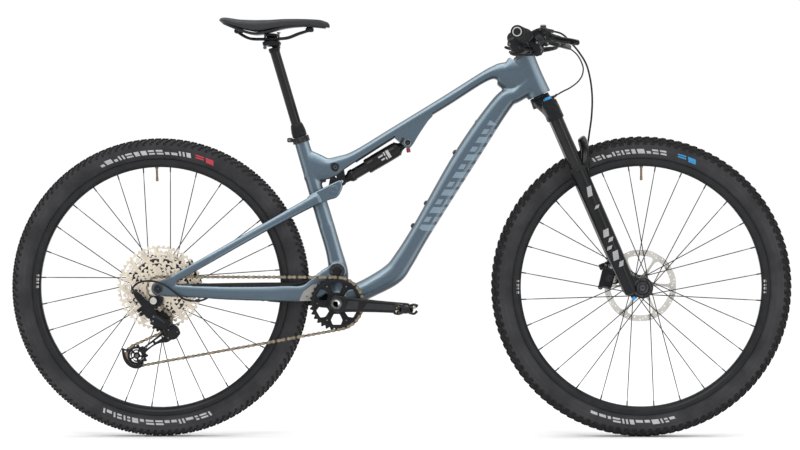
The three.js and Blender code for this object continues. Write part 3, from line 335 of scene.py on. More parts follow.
MAKERS = {
    "paint": frame_paint,
    "black": finish("satin_black", (22, 23, 25), 0.42, 0.15, coat=0.04, wear=0.3,
        wear_colour=(0.07, 0.07, 0.075), gloss=0.14),
    "gloss": finish("gloss_black", (15, 16, 18), 0.22, 0.0, coat=0.14, vary=0.1, bump=0.02, gloss=0.14),
    "anodised": finish("black_anodised", (27, 28, 30), 0.36, 0.6, wear=0.4, wear_colour=(0.16, 0.16, 0.17),
        gloss=0.25),
    "gunmetal": finish("gunmetal", (78, 79, 83), 0.3, 0.9, wear=0.5, wear_colour=(0.5, 0.5, 0.5)),
    "steel": finish("bright_steel", (186, 184, 180), 0.24, 1.0, vary=0.1, wear=0.2,
        wear_colour=(0.8, 0.8, 0.8)),
    "carbon": finish("carbon_weave", (22, 23, 25), 0.36, 0.1, coat=0.1, weave=2.4, vary=0.3, gloss=0.2),
    "plastic": finish("black_plastic", (24, 24, 26), 0.55, 0.0, bump=0.16, wear=0.2,
        wear_colour=(0.06, 0.06, 0.06), gloss=0.2),
    "tread": finish("tread_rubber", (25, 25, 27), 0.85, vary=0.25, vary_scale=60.0, bump=0.25,
        bump_scale=520.0, wear=0.3, wear_colour=(0.05, 0.05, 0.05), gloss=0.12),
    "wall_rear": finish("tyre_wall_rear", (50, 50, 52), 0.75, vary=0.3, vary_scale=18.0, bump=0.3,
        bump_scale=520.0, rings=(REAR, 6.0), gloss=0.2),
    "wall_front": finish("tyre_wall_front", (50, 50, 52), 0.75, vary=0.3, vary_scale=18.0, bump=0.3,
        bump_scale=520.0, rings=(FRONT, 6.0), gloss=0.2),
    "grip": finish("grip_rubber", (27, 27, 29), 0.8, vary=0.2, bump=0.35, bump_scale=700.0, gloss=0.15),
    "hose": finish("hose_jacket", (19, 19, 21), 0.45, bump=0.12, bump_scale=1500.0, gloss=0.25),
    "bar": finish("bar_matte", (21, 22, 24), 0.68, vary=0.2, bump=0.1, gloss=0.06),
    "cassette": finish("cassette_metal", (212, 202, 186), 0.3, 0.92, vary=0.14, rings=(REAR, 1.6), wear=0.5,
        wear_colour=(0.95, 0.92, 0.87)),
    "chain": finish("chain_plate", (122, 111, 94), 0.34, 0.9, vary=0.2, vary_scale=120.0, wear=0.4,
        wear_colour=(0.75, 0.71, 0.64)),
    "chain_dark": finish("chain_roller", (68, 62, 54), 0.42, 0.85, vary=0.25, vary_scale=140.0),
    "rotor_rear": finish("rotor_rear", (196, 194, 188), 0.26, 1.0, vary=0.08, rings=(REAR, 0.9)),
    "rotor_front": finish("rotor_front", (196, 194, 188), 0.26, 1.0, vary=0.08, rings=(FRONT, 0.9)),
    "stanchion": finish("stanchion_black", (15, 15, 17), 0.16, 0.3, coat=0.16, vary=0.08, bump=0.01,
        gloss=0.3),
    "leather": finish("saddle_cover", (27, 28, 31), 0.5, vary=0.18, bump=0.4, bump_scale=420.0, wear=0.15,
        wear_colour=(0.07, 0.07, 0.07), gloss=0.4),
    "marks": finish("pale_marks", (168, 168, 168), 0.6, vary=0.1, bump=0.1, gloss=0.2),
    "graphic": finish("grey_graphic", (150, 150, 152), 0.4, vary=0.08, gloss=0.3),
    "blue": finish("blue_anodised", (24, 140, 205), 0.28, 0.8, wear=0.3, wear_colour=(0.4, 0.6, 0.7)),
    "red": finish("red_anodised", (140, 14, 36), 0.3, 0.75, wear=0.3, wear_colour=(0.6, 0.3, 0.3)),
    "panel": finish("crank_panel", (44, 45, 47), 0.42, 0.4, bump=0.1, gloss=0.3),
    "brass": finish("pedal_spring", (186, 168, 134), 0.3, 0.9, wear=0.2, wear_colour=(0.7, 0.66, 0.56)),
    "cover": finish("headset_cover_grey", (58, 56, 56), 0.55, 0.1, bump=0.12, gloss=0.3),
    "scuff": finish("scuff_plate", (126, 124, 121), 0.45, 0.6, vary=0.2, wear=0.3,
        wear_colour=(0.5, 0.5, 0.5), gloss=0.3),
    "valve": finish("valve_bronze", (112, 96, 78), 0.35, 0.8, vary=0.15, wear=0.3,
        wear_colour=(0.4, 0.34, 0.26)),
    "mark_red": finish("red_mark", (176, 44, 58), 0.6, vary=0.1),
    "mark_blue": finish("blue_mark", (34, 130, 182), 0.6, vary=0.1),
}


# ---- Mesh parts: (vertices in millimetres, faces) ----
def part(vertices, faces):
    return np.asarray(vertices, float).reshape(-1, 3), [tuple(f) for f in faces]


def merge(*parts):
    vertices, faces, count = [], [], 0
    for v, f in parts:
        vertices.append(v)
        faces.extend(tuple(i + count for i in face) for face in f)
        count += len(v)
    return np.concatenate(vertices), faces


def moved(p, dx=0.0, dy=0.0, dz=0.0):
    return p[0] + np.array([dx, dy, dz]), p[1]


def flipped(p):
    """The same surface with its faces turned the other way."""
    return p[0], [tuple(reversed(f)) for f in p[1]]


def mirrored(p):
    return flipped((p[0] * np.array([1, -1, 1]), p[1]))


def turned(p, angle, at):
    """Turned about a line along Y; positive is anticlockwise seen from the drive side."""
    c, s = math.cos(angle), math.sin(angle)
    v = p[0].copy()
    x, z = v[:, 0] - at[0], v[:, 2] - at[1]
    v[:, 0], v[:, 2] = at[0] + c * x - s * z, at[1] + s * x + c * z
    return v, p[1]


def steered(p):
    """From the steering axis's frame into the row frame."""
    c, s = math.cos(HEAD_LEAN), math.sin(HEAD_LEAN)
    v = p[0].copy()
    x, z = v[:, 0].copy(), v[:, 2].copy()
    v[:, 0], v[:, 2] = HEAD_BASE[0] + c * x - s * z, HEAD_BASE[1] + s * x + c * z
    return v, p[1]


def spline(points, per=6, closed=False):
    """A smooth curve through rows of numbers, per steps between neighbours."""
    p = np.asarray(points, float)
    n = len(p)
    out = []
    spans = n if closed else n - 1
    for i in range(spans):
        if closed:
            a, b, c, d = (p[(i + k) % n] for k in (-1, 0, 1, 2))
        else:
            a, b, c, d = p[max(i - 1, 0)], p[i], p[i + 1], p[min(i + 2, n - 1)]
        for k in range(per):
            t = k / per
            square, cube = 2 * a - 5 * b + 4 * c - d, 3 * b - a - 3 * c + d
            out.append(0.5 * (2 * b + (c - a) * t + square * t * t + cube * t**3))
    if not closed:
        out.append(p[-1])
    return np.array(out)


def rounded(outline, per=3):
    """A closed outline, smoothed through its points."""
    return [tuple(p) for p in spline(outline, per, closed=True)]


def skin(rings, closed=False):
    """A surface through rings of equal count, capped at both ends or closed on itself."""
    rings = np.asarray(rings, float)
    m, n = rings.shape[:2]
    faces = []
    for i in range(m if closed else m - 1):
        for j in range(n):
            k, l = (j + 1) % n, (i + 1) % m
            faces.append((i * n + j, i * n + k, l * n + k, l * n + j))
    if not closed:
        faces.append(tuple(reversed(range(n))))
        faces.append(tuple((m - 1) * n + j for j in range(n)))
    return part(rings.reshape(-1, 3), faces)


def shell(rings):
    """A skin over rings, open through the middle where the last ring repeats the first."""
    if np.allclose(rings[0], rings[-1]):
        return skin(rings[:-1], True)
    return skin(rings)


def unit(v):
    return v / max(np.linalg.norm(v), 1e-9)


def beam(stations, sides=36, power=2.6, up=(0, 0, 1), per=6, cap=0.35):
    """A tube of changing rounded-box section through stations [x, y, z, half height, half width]."""
    s = spline(stations, per)
    centre, size = s[:, :3], s[:, 3:5]
    along = np.gradient(centre, axis=0)
    angles = (np.arange(sides) + 0.5) / sides * 2 * math.pi
    bend_c = np.sign(np.cos(angles)) * np.abs(np.cos(angles)) ** (2 / power)
    bend_s = np.sign(np.sin(angles)) * np.abs(np.sin(angles)) ** (2 / power)
    rings = []
    for c, d, (high, wide) in zip(centre, along, size):
        d = unit(d)
        side = unit(np.cross(up, d))
        top = np.cross(d, side)
        rings.append(c + np.outer(high * bend_c, top) + np.outer(wide * bend_s, side))
    if cap:
        first, last = rings[0], rings[-1]
        for share, depth in ((0.93, 0.6), (0.7, 1.0)):
            lip = min(size[0]) * cap * depth
            rings.insert(0, centre[0] + (first - centre[0]) * share - unit(along[0]) * lip)
            lip = min(size[-1]) * cap * depth
            rings.append(centre[-1] + (last - centre[-1]) * share + unit(along[-1]) * lip)
    return skin(rings)


def tube(points, radius, sides=14, per=6, closed=False, smooth=True):
    """A round tube along a curve, without twist; radius may be one number or one per point."""
    radii = np.full(len(points), radius) if np.isscalar(radius) else np.asarray(radius, float)
    rows = np.column_stack([np.asarray(points, float), radii])
    rows = spline(rows, per, closed) if smooth else rows
    centre, r = rows[:, :3], rows[:, 3]
    along = np.gradient(centre, axis=0)
    side = unit(np.cross(along[0], (0.13, 0.22, 0.97)))
    rings = []
    for c, d, size in zip(centre, along, r):
        d = unit(d)
        side = unit(side - d * np.dot(side, d))
        up = np.cross(d, side)
        angles = np.arange(sides) / sides * 2 * math.pi
        rings.append(c + size * (np.outer(np.cos(angles), side) + np.outer(np.sin(angles), up)))
    return skin(rings, closed)


def rod(a, b, radius, sides=32, end=None, edge=0.0):
    """A straight round bar, with a small bevel at both ends."""
    a, b = np.asarray(a, float), np.asarray(b, float)
    end = radius if end is None else end
    d = unit(b - a)
    length = np.linalg.norm(b - a)
    edge = edge or min(radius, end, length) * 0.08
    stops = [(0, radius - edge), (edge, radius), (length - edge, end), (length, end - edge)]
    side = unit(np.cross(d, (0.13, 0.22, 0.97)))
    up = np.cross(d, side)
    angles = np.arange(sides) / sides * 2 * math.pi
    hoop = np.outer(np.cos(angles), side) + np.outer(np.sin(angles), up)
    return skin([a + d * t + hoop * r for t, r in stops])


def pin(at, y0, y1, radius, sides=32, edge=0.0):
    """A round bar along Y."""
    return rod((at[0], y0, at[1]), (at[0], y1, at[1]), radius, sides, edge=edge)


def lathe(profile, at, sides=96, closed=True):
    """A profile of [radius, y] turned about a line along Y."""
    angles = np.arange(sides) / sides * 2 * math.pi
    rings = [
        np.column_stack([at[0] + r * np.cos(angles), np.full(sides, y), at[1] + r * np.sin(angles)])
        for r, y in (profile[:-1] if profile[0] == profile[-1] else profile)
    ]
    return skin(rings, closed)


def ring(at, inner, outer, y0, y1, sides=64, edge=0.3):
    """A flat ring about a line along Y, with its outer edges bevelled."""
    profile = [
        (inner, y0), (outer - edge, y0), (outer, y0 + edge), (outer, y1 - edge), (outer - edge, y1),
        (inner, y1)
    ]
    return lathe(profile, at, sides)


def box(x0, x1, y0, y1, z0, z1, edge=1.0):
    """A block with chamfered corners."""
    e = edge
    rings = []
    for z, inset in ((z0, e), (z0 + e, 0), (z1 - e, 0), (z1, e)):
        xa, xb, ya, yb = x0 + inset, x1 - inset, y0 + inset, y1 - inset
        rings.append(
            [
                (xa + e, ya, z), (xb - e, ya, z), (xb, ya + e, z), (xb, yb - e, z),
                (xb - e, yb, z), (xa + e, yb, z), (xa, yb - e, z), (xa, ya + e, z),
            ]
        )
    return skin(rings)


def plate(outline, y0, y1, holes=(), edge=0.5):
    """A side-view outline with holes, thickened along Y, with bevelled edges."""
    curve = bpy.data.curves.new("plate", "CURVE")
    curve.dimensions = "2D"
    curve.fill_mode = "BOTH"
    edge = min(edge, (y1 - y0) * 0.3)
    curve.bevel_depth = edge
    curve.bevel_resolution = 1
    curve.offset = -edge
    curve.extrude = (y1 - y0) / 2 - edge
    for loop in (outline, *holes):
        line = curve.splines.new("POLY")
        line.points.add(len(loop) - 1)
        line.points.foreach_set("co", [n for x, z in loop for n in (x, z, 0, 1)])
        line.use_cyclic_u = True
    holder = bpy.data.objects.new("plate", curve)
    mesh = bpy.data.meshes.new_from_object(holder)
    v = np.array([p.co[:] for p in mesh.vertices])
    f = [tuple(p.vertices) for p in mesh.polygons]
    bpy.data.objects.remove(holder)
    bpy.data.curves.remove(curve)
    bpy.data.meshes.remove(mesh)
    return part(np.column_stack([v[:, 0], -v[:, 2] + (y0 + y1) / 2, v[:, 1]]), f)


def circle(at, radius, count=32, start=0.0):
    """Points round a circle."""
    return [
        (at[0] + radius * math.cos(start + i / count * 2 * math.pi),
            at[1] + radius * math.sin(start + i / count * 2 * math.pi))
        for i in range(count)
    ]


def arc_points(at, radius, start, stop, steps):
    """Points along an arc from one angle to another, both included."""
    angles = [start + (stop - start) * i / steps for i in range(steps + 1)]
    return [(at[0] + radius * math.cos(t), at[1] + radius * math.sin(t)) for t in angles]


def hull_link(a, b, ra, rb, count=14):
    """The outline of two circles joined by their outer tangents."""
    lean = math.atan2(b[1] - a[1], b[0] - a[0])
    spread = math.acos((ra - rb) / math.hypot(b[0] - a[0], b[1] - a[1]))
    first = arc_points(a, ra, lean + spread, lean + 2 * math.pi - spread, count - 1)
    return first + arc_points(b, rb, lean - spread, lean + spread, count - 1)


def sector(at, r0, r1, a0, a1, count=5):
    """A window between two radii and two angles."""
    return arc_points(at, r1, a0, a1, count) + arc_points(at, r0, a1, a0, count)


def both_sides(rows, middle):
    """Stations of the right side, the middle one, and the same stations on the left."""
    return [*rows, middle, *[(x, -y, z, *size) for x, y, z, *size in reversed(rows)]]


def around(p, at, count, start=0.0):
    """Copies of a mesh part, evenly round a centre."""
    return merge(*[turned(p, start + i / count * 2 * math.pi, at) for i in range(count)])


# ---- Pieces ----
def build(name, geometry, material_key, body=None, nodes=(), sharp=38.0):
    """An object from a mesh part, shaded smooth except at its sharp edges, riding on its body."""
    vertices, faces = geometry
    mesh = bpy.data.meshes.new(name)
    mesh.from_pydata((vertices * MM).tolist(), [], faces)
    skin_mesh = bmesh.new()
    skin_mesh.from_mesh(mesh)
    bmesh.ops.recalc_face_normals(skin_mesh, faces=skin_mesh.faces)
    skin_mesh.to_mesh(mesh)
    skin_mesh.free()
    mesh.materials.append(look(material_key))
    mesh.polygons.foreach_set("use_smooth", [True] * len(mesh.polygons))
    mesh.update()
    mesh.set_sharp_from_angle(angle=math.radians(sharp))
    piece = bpy.data.objects.new(name, mesh)
    bpy.context.scene.collection.objects.link(piece)
    if body:
        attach(piece, body)
    if nodes:
        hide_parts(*nodes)
    return piece


def apply_modifiers(piece):
    """Puts the result of the piece's modifiers into its mesh."""
    bpy.context.view_layer.update()
    graph = bpy.context.evaluated_depsgraph_get()
    mesh = bpy.data.meshes.new_from_object(piece.evaluated_get(graph), depsgraph=graph)
    old = piece.data
    piece.modifiers.clear()
    piece.data = mesh
    bpy.data.meshes.remove(old)
    mesh.name = piece.name


def fuse(piece, voxel, rounds, cutters=(), sharp=30.0):
    """Melts overlapping forms into one skin with soft fillets, then cuts clean openings in it."""
    surface = piece.data.materials[0]
    remesh = piece.modifiers.new("fuse", "REMESH")
    remesh.mode = "VOXEL"
    remesh.voxel_size = voxel * MM
    soften = piece.modifiers.new("soften", "SMOOTH")
    soften.factor = 0.5
    soften.iterations = rounds
    apply_modifiers(piece)
    for geometry in cutters:
        tool = build("cutter", geometry, "black")
        cut = piece.modifiers.new("cut", "BOOLEAN")
        cut.operation = "DIFFERENCE"
        cut.solver = "EXACT"
        cut.object = tool
        apply_modifiers(piece)
        bpy.data.objects.remove(tool)
    mesh = piece.data
    mesh.materials.clear()
    mesh.materials.append(surface)
    mesh.polygons.foreach_set("use_smooth", [True] * len(mesh.polygons))
    mesh.set_sharp_from_angle(angle=math.radians(sharp))


def build_fused(name, geometry, material_key, body, nodes, voxel, rounds, cutters=()):
    """A piece whose forms are melted together before it rides on its body."""
    piece = build(name, geometry, material_key, None)
    fuse(piece, voxel, rounds, cutters)
    if body:
        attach(piece, body)
    if nodes:
        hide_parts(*nodes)
    return piece


# ---- Wheels ----
def casing(outer):
    """Half the tyre's outside profile, from the bead to the crown: [radius, y]."""
    rows = [(RIM_OUT - 3, 12.6), (RIM_OUT + 1, 14.8), (327, 22.0), (337, 27.6), (347, 29.4), (356, 28.4),
        (outer - 9.4, 23.5), (outer - 5.6, 15.5), (outer - 4.0, 7.0), (outer - 3.7, 0.0)]
    return spline(rows, 4)


def surface_at(profile, y):
    """The casing's radius and outward lean at a distance from the middle."""
    crown = profile[profile[:, 0] > 346.5]
    order = np.argsort(crown[:, 1])
    r = float(np.interp(abs(y), crown[order, 1], crown[order, 0]))
    r2 = float(np.interp(abs(y) + 0.5, crown[order, 1], crown[order, 0]))
    return r, math.atan2(r - r2, 0.5)


def knob(at, profile, angle, y, long, wide, tall, skew=0.0):
    """One tread block, wider at its foot, standing on the casing."""
    r, lean = surface_at(profile, y)
    lean = min(lean, 1.25) * (1 if y >= 0 else -1)
    vertices = []
    for depth, share in ((-1.6, 1.12), (tall * 0.75, 1.0), (tall, 0.86)):
        for sx, sy in ((-1, -1), (1, -1), (1, 1), (-1, 1)):
            u = sx * long / 2 * share + skew * sy * wide / 2
            v = sy * wide / 2 * share
            out = depth * math.cos(lean) - v * math.sin(lean)
            across = y + v * math.cos(lean) + depth * math.sin(lean)
            a = angle + u / r
            vertices.append((at[0] + (r + out) * math.cos(a), across, at[1] + (r + out) * math.sin(a)))
    faces = [(3, 2, 1, 0), (8, 9, 10, 11)]
    for k in (0, 4):
        for j in range(4):
            faces.append((k + j, k + (j + 1) % 4, k + 4 + (j + 1) % 4, k + 4 + j))
    return part(vertices, faces)


def tread(at, profile, rows, pattern):
    """Rows of blocks round the tyre; the pattern gives each its (y, long, wide, tall, shift, skew)."""
    blocks = []
    for i in range(rows):
        for y, long, wide, tall, shift, skew in pattern[i % len(pattern)]:
            angle = (i + shift) / rows * 2 * math.pi
            blocks.append(knob(at, profile, angle, y, long, wide, tall, skew))
            if y:
                blocks.append(knob(at, profile, angle, -y, long, wide, tall, -skew))
    return merge(*blocks)


def tyre_body(at, outer):
    """The casing as one hollow skin, from bead to bead."""
    profile = casing(outer)
    side = [tuple(p) for p in profile]
    mirror = [(r, -y) for r, y in reversed(side[:-1])]
    inside = [(RIM_OUT - 3, -9.5), (330, -18), (347, -24), (outer - 9, -16), (outer - 7, 0), (outer - 9, 16),
        (347, 24), (330, 18), (RIM_OUT - 3, 9.5)]
    return lathe(side + mirror + inside, at, 192)


def sidewall_marks(at, blocks):
    """Thin raised marks on both sidewalls, from (start, end, inner share, outer share, slant)."""
    low, high = 329.0, 343.0
    out = []
    side = casing(371.0)
    order = np.argsort(side[:, 0])
    for start, stop, r0, r1, slant in blocks:
        steps = max(2, int(abs(stop - start) / 1.2))
        for y_sign in (-1, 1):
            rings = []
            for i in range(steps + 1):
                t = start + (stop - start) * i / steps
                section = []
                for share, lift in ((r0, 0.35), ((2 * r0 + r1) / 3, 0.4), ((r0 + 2 * r1) / 3, 0.4),
                    (r1, 0.35), (r1, -0.8), (r0, -0.8)):
                    r = low + (high - low) * share
                    a = math.radians(t + slant * (share - 0.5))
                    y = float(np.interp(r, side[order, 0], side[order, 1])) + lift
                    section.append((at[0] + r * math.cos(a), y_sign * y, at[1] + r * math.sin(a)))
                rings.append(section)
            out.append(skin(rings))
    return merge(*out)


def mark_run(first, last, seed):
    """A run of plain bars, blocks and dots of uneven width between two angles."""
    rng = np.random.default_rng(seed)
    blocks, t = [], first
    step = 1 if last > first else -1
    while (last - t) * step > 0.9:
        kind = rng.integers(0, 4)
        width = float(rng.uniform(1.2, 3.4))
        if kind == 0:
            blocks.append((t, t + width * step, 0.1, 0.9, 0.8))
        elif kind == 1:
            blocks.append((t, t + width * step, 0.1, 0.4, 0.8))
            blocks.append((t, t + width * step, 0.6, 0.9, 0.8))
        elif kind == 2:
            blocks.append((t, t + 0.8 * step, 0.1, 0.9, 0.8))
            width = 0.8
        else:
            blocks.append((t, t + width * step, 0.1, 0.55, 0.8))
        t += (width + 0.8) * step
    return blocks


def rim_body(at):
    half = 17.5
    side = [
        (RIM_IN, 7), (301.5, 11.5), (308, 16.4), (313, half), (RIM_OUT, half), (RIM_OUT + 0.6, half - 0.8),
        (RIM_OUT, half - 2.6), (313.5, half - 3), (311, 11), (308.5, 4),
    ]
    return lathe([(RIM_IN, -7), *side, *[(r, -y) for r, y in reversed(side[1:])]], at, 192)


def spokes(at, first, turn, side, ring_y, ring_r):
    """One side's fourteen bladed spokes with their elbows and nipples."""
    step = 2 * math.pi / SPOKES * turn
    lean = math.radians(80)
    blades, nipples = [], []
    for i in range(side, SPOKES, 2):
        angle = math.radians(first) + i * step
        hole = angle + (lean if i % 4 < 2 else -lean)
        face = ring_y + (1.3 if i % 4 < 2 else -1.3)
        inner = np.array([at[0] + ring_r * math.cos(hole), face, at[1] + ring_r * math.sin(hole)])
        seat = RIM_IN + 1.0
        lift = 2 * (1 if ring_y > 0 else -1)
        outer = np.array([at[0] + seat * math.cos(angle), lift, at[1] + seat * math.sin(angle)])
        d = unit(outer - inner)
        length = np.linalg.norm(outer - inner)
        blade = [(0, 1.0, 1.0), (12, 1.0, 1.0), (22, 0.62, 1.15), (length - 40, 0.62, 1.15),
            (length - 30, 1.0, 1.0), (length - 12, 1.0, 1.0)]
        rings = []
        wide = unit(np.cross(d, (0, 1, 0)))
        thin = np.cross(wide, d)
        turns = np.arange(8) / 8 * 2 * math.pi
        for t, flat, broad in blade:
            centre = inner + d * t
            rings.append(centre + np.outer(np.cos(turns) * broad, wide) + np.outer(np.sin(turns) * flat,
                thin))
        blades.append(skin(rings))
        elbow_end = inner + np.array([0, (-2.6 if i % 4 < 2 else 2.6), 0])
        blades.append(rod(inner - d * 1.0, elbow_end, 1.0, 8))
        blades.append(rod(elbow_end, elbow_end + np.array([0, (-0.9 if i % 4 < 2 else 0.9), 0]), 1.9, 10))
        nipples.append(rod(outer - d * 13, outer + d * 1.5, 1.75, 8, edge=0.5))
    return merge(*blades), merge(*nipples)


def valve(at, angle):
    c, s = math.cos(math.radians(angle)), math.sin(math.radians(angle))

    def on(r):
        return (at[0] + r * c, 0, at[1] + r * s)

    return merge(rod(on(299), on(295), 4.4, 20), rod(on(297), on(272), 2.9, 18),
        rod(on(273), on(263.5), 3.4, 18, edge=0.9))


def rear_hub_body():
    rows = [
        (6.9, -22.6), (13, -22.6), (27, -22.4), (27.6, -21.6), (27, -20), (19, -18.4), (14.6, -14),
        (13.6, -6), (13.4, 20), (15, 28),
        (21, 33), (26, 36.2), (26.6, 37.4), (26, 38.8), (17.5, 40.2), (16.6, 44), (21.2, 46), (21.6, 47),
        (21.6, 56), (21, 57), (15.5, 57.4), (15, 61.4), (10, 63.4), (9.4, 73.4), (6.9, 73.6),
    ]
    return lathe(rows, REAR, 72)


def front_hub_body():
    rows = [
        (8, -54.4), (10.8, -54.4), (11, -45), (14.6, -43.6), (15.6, -41.5), (22.6, -40.6), (23.4, -39.6),
        (22.6, -38.4), (16, -36),
        (13.2, -30), (12.6, -12), (12.6, 8), (14, 20), (17, 24.6), (22.6, 26.6), (23.4, 27.6), (22.6, 28.8),
        (16, 30.6), (15.8, 33.6),
        (21, 34.4), (21.4, 35.4), (21.4, 42.6), (21, 43.4), (15, 43.8), (14.6, 48), (11, 50), (10.8, 54.4),
        (8, 54.4),
    ]
    return lathe(rows, FRONT, 72)


def rotor(at, radius, y):
    """A brake disc: a band with slanted slots and holes, on six swept arms with a carrier."""
    inner = radius - 15.5
    holes = []
    count = 36
    for i in range(count):
        a = i / count * 2 * math.pi
        r = radius - (4.3 if i % 2 else 10.6)
        centre = (at[0] + r * math.cos(a), at[1] + r * math.sin(a))
        long, wide, tilt = 2.5, 1.25, a + 0.9
        slot = []
        for k in range(10):
            t = k / 10 * 2 * math.pi
            u, v = long * math.cos(t), wide * math.sin(t)
            slot.append((centre[0] + u * math.cos(tilt) - v * math.sin(tilt),
                centre[1] + u * math.sin(tilt) + v * math.cos(tilt)))
        holes.append(slot)
        if i % 3 == 0:
            r = radius - 7.6
            a += 0.08
            holes.append(circle((at[0] + r * math.cos(a), at[1] + r * math.sin(a)), 1.3, 8))
    scallops = []
    for i in range(180):
        a = i / 180 * 2 * math.pi
        r = radius - 0.9 * (0.5 + 0.5 * math.cos(12 * a))
        scallops.append((at[0] + r * math.cos(a), at[1] + r * math.sin(a)))
    windows = []
    for i in range(6):
        a = i * math.pi / 3
        swept = [
            (inner, a + 0.10), (inner, a + 0.52), (inner, a + 0.93), (52, a + 1.02), (30, a + 0.92),
            (27.5, a + 0.62), (27.5, a + 0.38), (40, a + 0.16), (54, a + 0.08)
        ]
        curve = spline([(at[0] + r * math.cos(t), at[1] + r * math.sin(t)) for r, t in swept], 3, closed=True)
        windows.append([tuple(p) for p in curve])
    holes += windows
    holes.append(circle(at, 16.2, 32))
    disc = plate(scallops, y - 0.9, y + 0.9, holes, 0.2)
    carrier = plate(circle(at, 23, 40), y - 1.6, y + 1.6, [circle(at, 16.2, 32)], 0.3)
    return disc, carrier


def add_wheel(name, at, outer, body, wall, rotor_look):
    """Tyre, rim, spokes, valve, hub and brake disc, all riding on the wheel's body."""
    front = name == "front"
    profile = casing(outer)
    if front:
        pattern = [
            [(5.0, 10.4, 7.6, 3.6, 0.0, 0.06), (14.6, 9.4, 6.4, 3.4, 0.5, 0.1),
                (24.6, 12.0, 7.6, 4.8, 0.1, 0.0), (28.0, 10.0, 8.4, 1.8, 0.7, 0.0)],
            [(7.6, 7.0, 6.0, 1.6, 0.0, -0.08), (19.4, 7.4, 5.8, 3.4, 0.0, 0.0)],
        ]
        rows = 230
    else:
        pattern = [
            [(0.0, 4.6, 5.0, 3.0, 0.0, 0.0), (8.6, 4.8, 5.2, 3.0, 0.3, 0.12),
                (23.6, 5.4, 5.2, 3.0, 0.0, 0.0), (27.8, 6.0, 7.0, 1.5, 0.6, 0.0)],
            [(4.6, 4.8, 4.8, 3.0, 0.0, -0.1), (13.6, 4.8, 4.8, 3.0, 0.2, 0.0),
                (19.0, 4.2, 4.4, 2.8, 0.4, 0.0)],
        ]
        rows = 256
    build(name + "_tyre_casing", tyre_body(at, outer), wall, body, [name + "_tyre"], sharp=28)
    build(name + "_tyre_blocks", tread(at, profile, rows, pattern), "tread", body, sharp=28)
    runs = {
        "rear": [mark_run(116, 77, 3), mark_run(245, 292, 5)],
        "front": [mark_run(111, 78, 8), mark_run(248, 285, 13)],
    }[name]
    build(name + "_tyre_marks", sidewall_marks(at, [b for run in runs for b in run]), "marks", body)
    patch = sidewall_marks(at, [(70.0, 66.6, 0.08, 0.92, 1.1), (74.6, 71.0, 0.3, 0.55, 0.6),
        (74.6, 71.0, 0.7, 0.92, 0.6)])
    build(name + "_tyre_patch", patch, "mark_blue" if front else "mark_red", body)
    build(name + "_rim_hoop", rim_body(at), "carbon", body, [name + "_rim"], sharp=30)
    decals = []
    for start in (174, 354) if not front else (177, 357):
        for k in range(4):
            a0, a1 = math.radians(start + k * 1.7), math.radians(start + k * 1.7 + (1.15 if k % 2 else 0.8))
            for y_sign in (-1, 1):
                rings = []
                for t in (a0, (a0 + a1) / 2, a1):
                    rings.append(
                        [
                            (at[0] + r * math.cos(t), y_sign * y, at[1] + r * math.sin(t))
                            for r, y in ((303.0, 12.9), (309.0, 17.0), (309.0, 16.0), (303.0, 12.0))
                        ]
                    )
                decals.append(skin(rings))
    build(name + "_rim_marks", merge(*decals), "marks", body)
    first, turn = (83.3, -1) if front else (98.2, 1)
    right = (-41.3, 21.0) if front else (-26.3, 24.5)
    left = (29.7, 21.0) if front else (38.7, 21.0)
    for side, (ring_y, ring_r), label in ((0, right, "right"), (1, left, "left")):
        blades, nipples = spokes(at, first, turn, side, ring_y, ring_r)
        build(f"{name}_spoke_blades_{label}", blades, "anodised", body,
            [f"{name}_spokes_{label}"])
        build(f"{name}_nipples_{label}", nipples, "anodised", body)
    build(name + "_valve", valve(at, 90.0 if front else 91.8), "valve", body)
    hub = front_hub_body() if front else rear_hub_body()
    build(name + "_hub_shell", hub, "anodised", body, [name + "_hub"])
    disc, carrier = rotor(at, 90 if front else 80, 44.7 if front else 59)
    bolts_r, bolts_y = 19.6, (46.4 if front else 60.7)
    build(name + "_brake_disc", disc, rotor_look, body, [name + "_rotor"], sharp=25)
    build(name + "_disc_carrier", carrier, "anodised", body)
    one = pin((at[0] + bolts_r, at[1]), bolts_y - 0.4, bolts_y + 1.3, 2.6, 12)
    build(name + "_disc_bolts", around(one, at, 6, 0.2), "steel", body)


# ---- Main frame ----
def seat_point(distance, y=0.0):
    return np.array([SEAT_TOP[0] - distance * math.cos(SEAT_ANGLE), y,
        SEAT_TOP[1] + distance * math.sin(SEAT_ANGLE)])


def head_point(x, y, z):
    return steered(part([(x, y, z)], []))[0][0]


